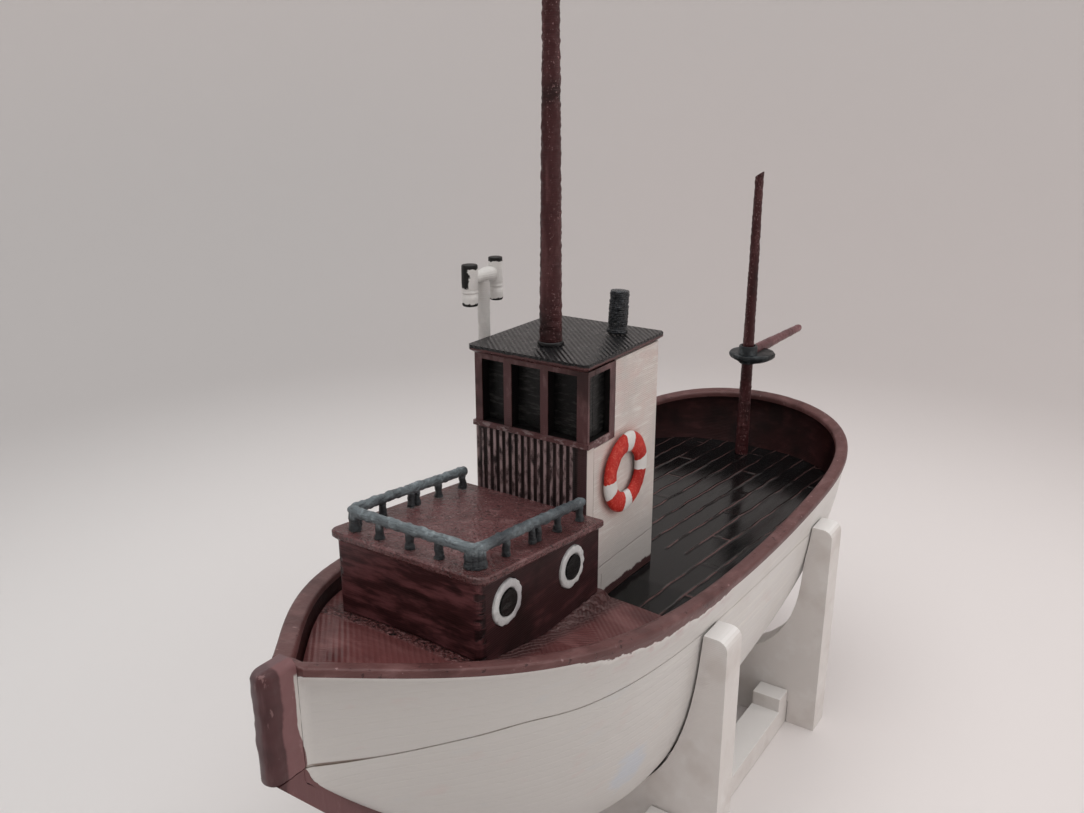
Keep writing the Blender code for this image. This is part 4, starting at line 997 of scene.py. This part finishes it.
def make_decks():
    skin = WALL + DECK_CLEARANCE
    low = lambda x: max(seam(x) + GAP, main_deck_top(x) - DECK_THICKNESS)
    stern = HULL_STERN_X + skin
    if keel_line(stern, skin) > low(stern):
        stern = bisect(lambda x: keel_line(x, skin) - low(x), TUCK_X, stern)
    stern += GAP
    length = DECK_STEP_X - GAP - stern
    stations = [stern + length * (1 - math.cos(turn)) for turn in even(0.0, math.pi / 2, DECK_GRID[0])]
    across = even(-1.0, 1.0, DECK_GRID[1])
    points, faces = deck_slab(stations, across, lambda x, y: main_deck_top(x), low)
    wide, count = len(across), len(stations)
    marks = []
    for i, (x, y, z) in enumerate(points):
        ridge = plank_ridge(x, y) if i < wide * count else 0.0
        marks.append(ridge)
        edge = i % wide in (0, wide - 1) or i // wide in (0, count - 1)
        if ridge and not edge:
            points[i] = (x, y, z + ridge * SEAM_HEIGHT)
    deck = piece("planked_deck", (points, faces), deck_paint(), "boat", ("main_deck",))
    mark(deck, "ridge", marks)
    stations = even(DECK_STEP_X, FOREDECK_BOW_X, FOREDECK_GRID[0])
    across = even(-1.0, 1.0, FOREDECK_GRID[1])
    low = lambda x: max(seam(x) + GAP, foredeck_top(x, HALF_BEAM) - FOREDECK_THICKNESS)
    shape = deck_slab(stations, across, foredeck_top, low)
    piece("foredeck_planes", shape, foredeck_paint(), "boat", ("foredeck",))


# Railing, masts and fittings


def tube(path, radius, sides=14, uneven=0.04, seed=0.0):
    """A rod along a path of points, a little uneven."""
    path = [Vector(point) for point in path]
    columns = []
    for i, point in enumerate(path):
        before = path[max(0, i - 1)]
        after = path[min(len(path) - 1, i + 1)]
        along = (after - before).normalized()
        side = along.cross(Vector((0, 0, 1)))
        side = side.normalized() if side.length > 0.01 else Vector((1, 0, 0))
        up = side.cross(along)
        row = []
        for cosine, sine in turns(sides):
            out = side * cosine + up * sine
            place = point + out * radius
            row.append(point + out * (radius + uneven * waver(*place, 0.5, seed)))
        columns.append(row)
    return ring(columns, closed=False)


def spaced(path, pitch):
    """Points every pitch or so along straight stretches."""
    result = [Vector(path[0])]
    for start, end in zip(path, path[1:]):
        start, end = Vector(start), Vector(end)
        steps = max(1, round((end - start).length / pitch))
        result += [start.lerp(end, i / steps) for i in range(1, steps + 1)]
    return result


RAILING_HALF = 6.55
RAILING_X = (20.3, 35.7)
RAILING_CORNER = 0.8
RAILING_HEIGHT = 2.2
RAILING_RADIUS = 0.42
POST_RADIUS = 0.36
RAILING_SIDE_POSTS = ((20.6, 0.37), (24.2, 0.36), (27.2, 0.31), (28.0, 0.31), (31.7, 0.34))
RAILING_FRONT_POSTS = (-3.2, 0.0, 3.0)
RAILING_CORNER_POSTS = ((34.9, 6.55), (35.2, 6.46), (35.48, 6.26), (35.66, 5.95))


def make_railing():
    aft, front = RAILING_X
    corner, half = RAILING_CORNER, RAILING_HALF
    flat = [(aft, half), (front - corner, half), (front - 0.24, half - 0.24), (front, half - corner)]
    flat += [(x, -y) for x, y in reversed(flat)]
    path = [(x, y, trunk_roof_top(x) + RAILING_HEIGHT - RAILING_RADIUS) for x, y in flat]
    shapes = [tube(spaced(path, 0.15), RAILING_RADIUS + 0.03, 18, 0.075, 1.0)]
    feet = [(x, side * half, wide) for x, wide in RAILING_SIDE_POSTS for side in (1, -1)]
    feet += [(front, y, POST_RADIUS) for y in RAILING_FRONT_POSTS]
    feet += [(x, side * y, 0.43) for x, y in RAILING_CORNER_POSTS for side in (1, -1)]
    for i, (x, y, wide) in enumerate(feet):
        foot = trunk_roof_top(x) + GAP + POST_RADIUS * TRUNK_ROOF_SLOPE
        tall = RAILING_HEIGHT - RAILING_RADIUS - GAP
        profile = [(tall * k / 12, wide * (1.15 - 0.22 * ease(k / 12, 0.0, 0.35))) for k in range(13)]
        shapes.append(lathe(profile, 14, (x, y, foot), uneven=0.07, grain=0.45, seed=i * 1.7))
    piece("roof_railing", joined(*shapes), GREY, "boat", ("railing",))


MAST_X = 15.27
MAST_TOP = 95.9
MAST_RADII = (1.05, 0.62)
MIZZEN_X = -32.7
MIZZEN_RADII = (0.87, 0.53)
MIZZEN_TOP = 66.0
MIZZEN_CUT = 0.7


def pole(foot, top, radii, bulge, seed):
    """Heights and radii of a printed pole: a ridge for each layer, and uneven ones among them."""
    count = round((top - foot) / (LAYER / 2))
    profile = []
    for i in range(count + 1):
        share = i / count
        radius = radii[0] + (radii[1] - radii[0]) * share
        ridge = bulge * (i % 2) + bulge * 1.6 * waver(i * 0.35, seed, 0.0, 1.0)
        profile.append((share * (top - foot), radius + ridge - bulge))
    return profile


def make_masts():
    foot = ROOF_TOP + GAP
    profile = pole(foot, MAST_TOP, MAST_RADII, 0.007, 4.0)
    shape = lathe(profile, 28, (MAST_X, 0, foot), uneven=0.055, grain=0.42, seed=2.0)
    piece("main_mast", shape, MAST, "boat", ("front_mast",), 60.0)
    foot = main_deck_top(MIZZEN_X) + GAP + MIZZEN_RADII[0] * DECK_FALL
    profile = pole(foot, MIZZEN_TOP, MIZZEN_RADII, 0.007, 9.0)
    points, faces = lathe(profile, 24, (MIZZEN_X, 0, foot), uneven=0.04, grain=0.5, seed=5.0)
    cut = MIZZEN_TOP - MIZZEN_RADII[1] * MIZZEN_CUT
    points = [Vector((p.x, p.y, min(p.z, cut + p.y * MIZZEN_CUT))) for p in points]
    piece("mizzen", (points, faces), MAST, "boat", ("mizzen_mast",), 60.0)


PORTHOLE_X = (("fore", 33.05), ("aft", 23.45))
PORTHOLE_DROP = 3.3
PORTHOLE_SECTION = (
    (-0.28, 1.93), (0.08, 1.92), (0.14, 1.84), (0.17, 1.70), (0.18, 1.50), (0.17, 1.30), (0.10, 1.19),
    (-0.28, 1.17),
)


def make_portholes():
    for side, side_name in SIDES:
        for end, x in PORTHOLE_X:
            place = (x, side * TRUNK_HALF, trunk_roof_top(x) - PORTHOLE_DROP)
            shape = hoop(PORTHOLE_SECTION, 84, place, (0, side, 0), 0.075, 0.5, x + side)
            which = f"{side_name}_{end}"
            replaced = (f"porthole_rim_{which}",)
            piece(f"porthole_ring_{which}", shape, PORT_WHITE, "boat", replaced, 60.0)


CHIMNEY_FOOT = (8.45, 3.1, 54.42)
CHIMNEY_HEIGHT = 4.05
CHIMNEY_LEAN = (-0.0524, 0.0262)
MAST_RING_SECTION = ((0.0, 1.08), (0.0, 1.21), (0.10, 1.23), (0.26, 1.20), (0.34, 1.14), (0.35, 1.08))


def make_chimney():
    profile = [(0.0, 0.96), (0.14, 1.0), (0.32, 0.99), (0.44, 0.90)]
    for i, height in enumerate(even(0.5, CHIMNEY_HEIGHT - 0.06, 60)):
        profile.append((height, 0.925 if i % 2 else 0.89))
    profile.append((CHIMNEY_HEIGHT, 0.86))
    axis = Vector((*CHIMNEY_LEAN, 1.0)).normalized()
    shape = lathe(profile, 48, CHIMNEY_FOOT, axis, 0.06, 0.24, 7.0)
    piece("rough_chimney", shape, IRON, "boat", ("chimney",), 70.0)
    shape = hoop(MAST_RING_SECTION, 40, (MAST_X, 0, ROOF_TOP + GAP), (0, 0, 1), 0.03, 0.5, 3.0)
    piece("mast_foot_ring", shape, BLACK_PAINT, "boat", ("mast_ring",), 60.0)


LAMP_PROFILE = (
    (0.0, 0.56), (0.03, 0.64), (0.10, 0.68), (0.20, 0.70), (0.6, 0.70), (1.0, 0.70), (1.04, 0.65),
    (1.12, 0.64), (1.17, 0.70), (1.26, 0.72), (1.34, 0.70), (1.38, 0.67), (1.46, 0.70), (2.0, 0.71),
    (2.8, 0.71), (3.44, 0.71), (3.54, 0.70), (3.59, 0.66), (3.60, 0.58),
)
# End, x, foot, growth along and across, and the heights where the black begins: foot, top, outer side
LAMPS = (
    ("fore", 17.95, 57.52, 1.07, 1.05, (57.78, 60.95, 59.2)),
    ("aft", 13.93, 57.40, 1.14, 0.94, (57.62, 61.10, 99.0)),
)
LAMP_POST_X = 15.9
LAMP_POST_Z = (50.4, 60.0)
BARREL_PROFILE = (
    (0.0, 0.50), (0.2, 0.60), (0.5, 0.72), (0.9, 0.77), (1.3, 0.75), (1.8, 0.66), (2.4, 0.56), (3.0, 0.52),
    (3.42, 0.50),
)
BARREL_FROM_AFT_LAMP = 0.30
LAMP_ARM = ((LAMP_POST_X, LAMP_Y, 51.15), (LAMP_POST_X, -6.26, 51.15))
LAMP_ARM_RADIUS = 0.42


def make_lamps():
    for end, x, foot, taller, wider, black in LAMPS:
        profile = [(height * taller, radius * wider) for height, radius in LAMP_PROFILE]
        shape = lathe(profile, 36, (x, LAMP_Y, foot), uneven=0.03, grain=0.5, seed=x)
        paint = lamp_paint(f"lamp_{end}_caps", x, *black)
        piece(f"capped_lamp_{end}", shape, paint, "boat", (f"lamp_{end}",), 60.0)
    low, high = LAMP_POST_Z
    tall = high - low
    profile = [(0.0, 0.45), (0.06, 0.57)] + [(height, 0.58) for height in even(0.2, tall - 0.2, 24)]
    profile += [(tall - 0.05, 0.45), (tall, 0.3)]
    post = lathe(profile, 20, (LAMP_POST_X, LAMP_Y, low), uneven=0.025, grain=0.6, seed=6.0)
    barrel_from = (LAMPS[1][1] + BARREL_FROM_AFT_LAMP, LAMP_Y, high)
    barrel = lathe(BARREL_PROFILE, 24, barrel_from, (1, 0, 0), 0.03, 0.6, 2.0)
    arm = tube(spaced(LAMP_ARM, 0.15), LAMP_ARM_RADIUS, 16, 0.02, 3.0)
    piece("lamp_pole", joined(post, barrel, arm), LAMP_WHITE, "boat", ("lamp_post",), 60.0)


SADDLE_SHIFT = 1.5
SADDLE_BORE = 0.93
SADDLE_LEVELS = ((40.95, 1.85), (41.2, 2.4), (41.45, 2.85), (41.62, 3.0), (41.95, 3.02), (42.08, 2.93))
SLEEVE = (1.22, 43.35)
BOOM_START = (-34.2, 0.0, 42.2)
BOOM_END = (-52.03, 0.0, 41.7)
BOOM_RADII = (0.74, 0.51)


def make_boom():
    """The saddle's disc lies aft of the mast, so its rim's distance changes round the bore."""
    columns = []
    for pair in turns(72):
        out = Vector(pair)
        column = [(SADDLE_BORE, SADDLE_LEVELS[0][0])]
        for z, radius in SADDLE_LEVELS:
            lump = 0.07 * waver(out.x * radius, out.y * radius, z, 0.7, 5.0)
            along = -SADDLE_SHIFT * out.x
            reach = along + math.sqrt(max(0.0, along**2 + (radius + lump) ** 2 - SADDLE_SHIFT**2))
            column.append((max(SADDLE_BORE + 0.12, reach), z))
        wall, top = SLEEVE
        column += [(wall + 0.02, SADDLE_LEVELS[-1][0] + 0.03), (wall, top - 0.12)]
        column += [(wall - 0.08, top), (SADDLE_BORE, top)]
        columns.append([(MIZZEN_X + out.x * far, out.y * far, z) for far, z in column])
    piece("boom_saddle", ring(columns), SADDLE, "boom", ("boom_collar",), 50.0)
    path = spaced([BOOM_START, BOOM_END], 0.2)
    count = len(path) - 1
    columns = []
    for i, (point, radius) in enumerate(zip(path, even(*BOOM_RADII, count))):
        radius *= 0.85 if i in (0, count) else 1.0
        row = []
        for cosine, sine in turns(20):
            wide = radius + 0.045 * waver(point.x, cosine, sine, 0.6, 9.0)
            row.append((point.x, wide * cosine, point.z + wide * sine))
        columns.append(row)
    piece("rough_boom", ring(columns, closed=False), BOOM, "boom", ("boom",), 60.0)


STEM_NOSE_X = 51.1
BEAD_X = (41.0, STEM_BACK_X + 0.1)


def make_stem():
    """The stem head with a worn, rounded top, and a bead of paint between the forefoot and the hull."""
    straight = even(STEM_BACK_X, STEM_NOSE_X, 10)
    flat = [(x, -POST_HALF_WIDTH) for x in straight[:-1]]
    for angle in even(-math.pi / 2, math.pi / 2, 24):
        flat.append((STEM_NOSE_X + POST_HALF_WIDTH * math.cos(angle), POST_HALF_WIDTH * math.sin(angle)))
    flat += [(x, POST_HALF_WIDTH) for x in reversed(straight[:-1])]
    foot, top = STEM_Z
    levels = [(foot, 0.12), (foot + 0.05, 0.04), (foot + 0.15, 0.0)]
    levels += [(z, 0.0) for z in even(foot + 0.3, top - 0.55, 36)]
    levels += [(top - 0.42, 0.03), (top - 0.28, 0.08), (top - 0.16, 0.16), (top - 0.07, 0.27), (top, 0.45)]
    rows = []
    for z, inset in levels:
        row = []
        for x, y in flat:
            shrunk = x - inset * ease(x, STEM_BACK_X, STEM_NOSE_X + POST_HALF_WIDTH)
            lump = 0.06 * waver(x, y, z, 0.9, 12.0)
            wide = y * (1 - inset / POST_HALF_WIDTH) + math.copysign(lump, y)
            row.append((shrunk + lump * ease(x, STEM_NOSE_X - 0.5, STEM_NOSE_X + 0.5), wide, z - abs(lump)))
        rows.append(row)
    piece("worn_stem", ring(rows, closed=False), STEM, "boat", ("stem",), 50.0)
    columns = []
    half = POST_HALF_WIDTH + 0.03
    for x in even(*BEAD_X, 40):
        z = keel_line(x)
        top = z + 0.16 + 0.7 * ease(x, 48.5, 48.95)
        columns.append([(x, -half, z - 0.3), (x, -half, top), (x, half, top), (x, half, z - 0.3)])
    piece("forefoot_bead", ring(columns, closed=False), STEM, "boat")


CORNER_X = (18.6, 15.92)
CORNER_Y = (6.17, 5.62)
CORNER_TOP = 32.76
END_RIB = (18.55, -5.48, 39.75)


def make_house_corners():
    """The foot of each house side, down to the foredeck, and one more rib on the planking."""
    for side, side_name in SIDES:
        outer, inner = (side * y for y in CORNER_Y)
        columns = []
        for x in even(*CORNER_X, 8):
            low = foredeck_top(max(x, DECK_STEP_X), outer) + 0.02
            columns.append([(x, outer, low), (x, outer, CORNER_TOP), (x, inner, CORNER_TOP), (x, inner, low)])
        piece(f"house_corner_{side_name}", ring(columns, closed=False), HOUSE, "boat")
    profile = [(i * 0.3, 0.17 + 0.02 * (i % 2)) for i in range(22)]
    shape = lathe(profile, 12, END_RIB, uneven=0.03, grain=0.4, seed=3.0)
    piece("end_rib", shape, RIBS, "boat")


BUOY_RADII = (2.95, 1.0)
BUOY_FLATNESS = 0.42
# The middles of the white bands, in degrees from the bow, and half a band's width
BUOY_BANDS = (96.0, 179.0, 269.5, 346.0)
BAND_HALF = 13.0


def make_buoy():
    """The lifebuoy's ring, which marks where its bands are."""
    columns, marks = [], []
    for turn in even(0.0, math.tau, 120)[:-1]:
        away = min(abs((math.degrees(turn) - band + 180) % 360 - 180) for band in BUOY_BANDS)
        band = 1 - ease(away, BAND_HALF - 7, BAND_HALF + 7)
        thick = BUOY_RADII[1] * (0.97 + 0.03 * band)
        column = []
        for cosine, sine in turns(26):
            out = BUOY_RADII[0] + thick * cosine
            depth = thick * sine * BUOY_FLATNESS
            x, z = out * math.cos(turn), out * math.sin(turn)
            bump = 0.02 * waver(x, depth, z, 0.5, 8.0)
            column.append((BUOY_PLACE[0] + x, BUOY_PLACE[1] + depth + bump, BUOY_PLACE[2] + z))
            marks.append(band)
        columns.append(column)
    buoy = piece("banded_lifebuoy", ring(columns), buoy_paint(), "boat", ("lifebuoy",))
    mark(buoy, "band", marks)


make_hull()
make_stem()
make_rail()
make_decks()
make_railing()
make_masts()
make_portholes()
make_chimney()
make_lamps()
make_boom()
make_house_corners()
make_buoy()

wear(("keel", "rudder"), STEM)
wear("propeller", IRON)
wear("trunk_walls", TRUNK)
wear("trunk_roof", TRUNK_TOP)
wear(("porthole_pane", "glazing"), PANE)
wear("window_frame", WINDOW_FRAME)
wear("front_planking", RIBS)
wear(("wheelhouse_side", "wheelhouse_back"), HOUSE)
wear("wheelhouse_roof", roof_paint())
wear("stand_", stand_paint(), 0.15)


# Floor, light and camera

FLOOR_RADIUS = 330.0
CURVE_RADIUS = 150.0
WALL_TOP = 420.0


def stage_paint():
    """Pale floor with painted light falloff, darker away from the model and lighter again higher up the wall,
    and a painted light tint from warm to cool along PHOTO_LEFT.
    """
    paint = Paint("sweep_paper")
    flat = paint.vector("MULTIPLY", paint.place, (1.0, 1.0, 0.0))
    # Painted light: the floor darkens away from the model, and the light's warmth shifts along PHOTO_LEFT.
    far = paint.vector("LENGTH", flat).step(75.0, 185.0)
    painted_light_tint = paint.vector("DOT_PRODUCT", paint.place, PHOTO_LEFT).step(-60.0, 110.0)
    near = paint.mix(painted_light_tint, (0.825, 0.785, 0.775), (0.825, 0.815, 0.810))
    wall = paint.mix(painted_light_tint, (0.640, 0.600, 0.590), (0.600, 0.585, 0.580))
    wall = paint.mix(paint.z.step(20.0, 130.0), wall, (0.665, 0.635, 0.625))
    paint.colour = paint.mix(far, near, wall)
    paint.rough = 0.9
    return paint.finish(0.2)


def make_stage():
    profile = [(0.0, 0.0), (60.0, 0.0), (120.0, 0.0), (FLOOR_RADIUS - CURVE_RADIUS, 0.0)]
    for angle in even(0.0, math.pi / 2, 12)[1:]:
        out = FLOOR_RADIUS - CURVE_RADIUS + CURVE_RADIUS * math.sin(angle)
        profile.append((out, CURVE_RADIUS * (1 - math.cos(angle))))
    profile.append((FLOOR_RADIUS, WALL_TOP))
    sides = 96
    points = [(0.0, 0.0, 0.0)]
    for radius, height in profile[1:]:
        points += [(radius * cosine, radius * sine, height) for cosine, sine in turns(sides)]
    faces = [(0, 1 + i, 1 + (i + 1) % sides) for i in range(sides)]
    for k in range(len(profile) - 2):
        for i in range(sides):
            inner, outer = 1 + k * sides, 1 + (k + 1) * sides
            j = (i + 1) % sides
            faces.append((inner + i, outer + i, outer + j, inner + j))
    mesh = new_mesh("sweep", points, faces)
    mesh.shade_smooth()
    mesh.materials.append(stage_paint())
    placed("sweep", mesh)


def area_light(name, place, target, size, watts, colour):
    light = bpy.data.lights.new(name, "AREA")
    light.shape = "RECTANGLE"
    light.size, light.size_y = size[0] * MM, size[1] * MM
    light.energy = watts
    light.color = colour
    obj = placed(name, light)
    obj.location = Vector(place) * MM
    obj.rotation_euler = (Vector(target) - Vector(place)).to_track_quat("-Z", "Y").to_euler()


def make_light():
    world = bpy.data.worlds.new("soft_room")
    world.use_nodes = True
    background = world.node_tree.nodes["Background"]
    background.inputs["Color"].default_value = (1.0, 0.985, 0.97, 1.0)
    background.inputs["Strength"].default_value = 0.10
    bpy.context.scene.world = world
    area_light("overhead", (20, 10, 345), (0, 0, 20), (420, 420), 0.95, (1.0, 0.99, 0.985))
    area_light("port_window", (-90, 290, 150), (0, 0, 25), (240, 200), 0.26, (1.0, 0.965, 0.94))


CAMERA_PLACE = (89.64, 48.81, 78.34)
CAMERA_YAW = 0.590
CAMERA_PITCH = 0.326
CAMERA_ROLL = -0.002
FOCAL_PIXELS = 1000.49
PHOTO_WIDTH = 1084
SENSOR = 36.0


def make_camera():
    yaw, pitch, roll = CAMERA_YAW, CAMERA_PITCH, CAMERA_ROLL
    ahead = Vector((-math.cos(yaw) * math.cos(pitch), -math.sin(yaw) * math.cos(pitch), -math.sin(pitch)))
    right = ahead.cross(Vector((0, 0, 1))).normalized()
    up = right.cross(ahead)
    across = right * math.cos(roll) + up * math.sin(roll)
    upward = up * math.cos(roll) - right * math.sin(roll)
    turn = Matrix((across, upward, -ahead)).transposed().to_4x4()
    data = bpy.data.cameras.new("camera")
    data.sensor_width = SENSOR
    data.lens = FOCAL_PIXELS / PHOTO_WIDTH * SENSOR
    data.clip_start = 0.001
    data.clip_end = 10.0
    camera = placed("camera", data)
    camera.matrix_world = Matrix.Translation(Vector(CAMERA_PLACE) * MM) @ turn
    bpy.context.scene.camera = camera


make_stage()
make_light()
make_camera()
bpy.context.scene.view_settings.view_transform = "Standard"
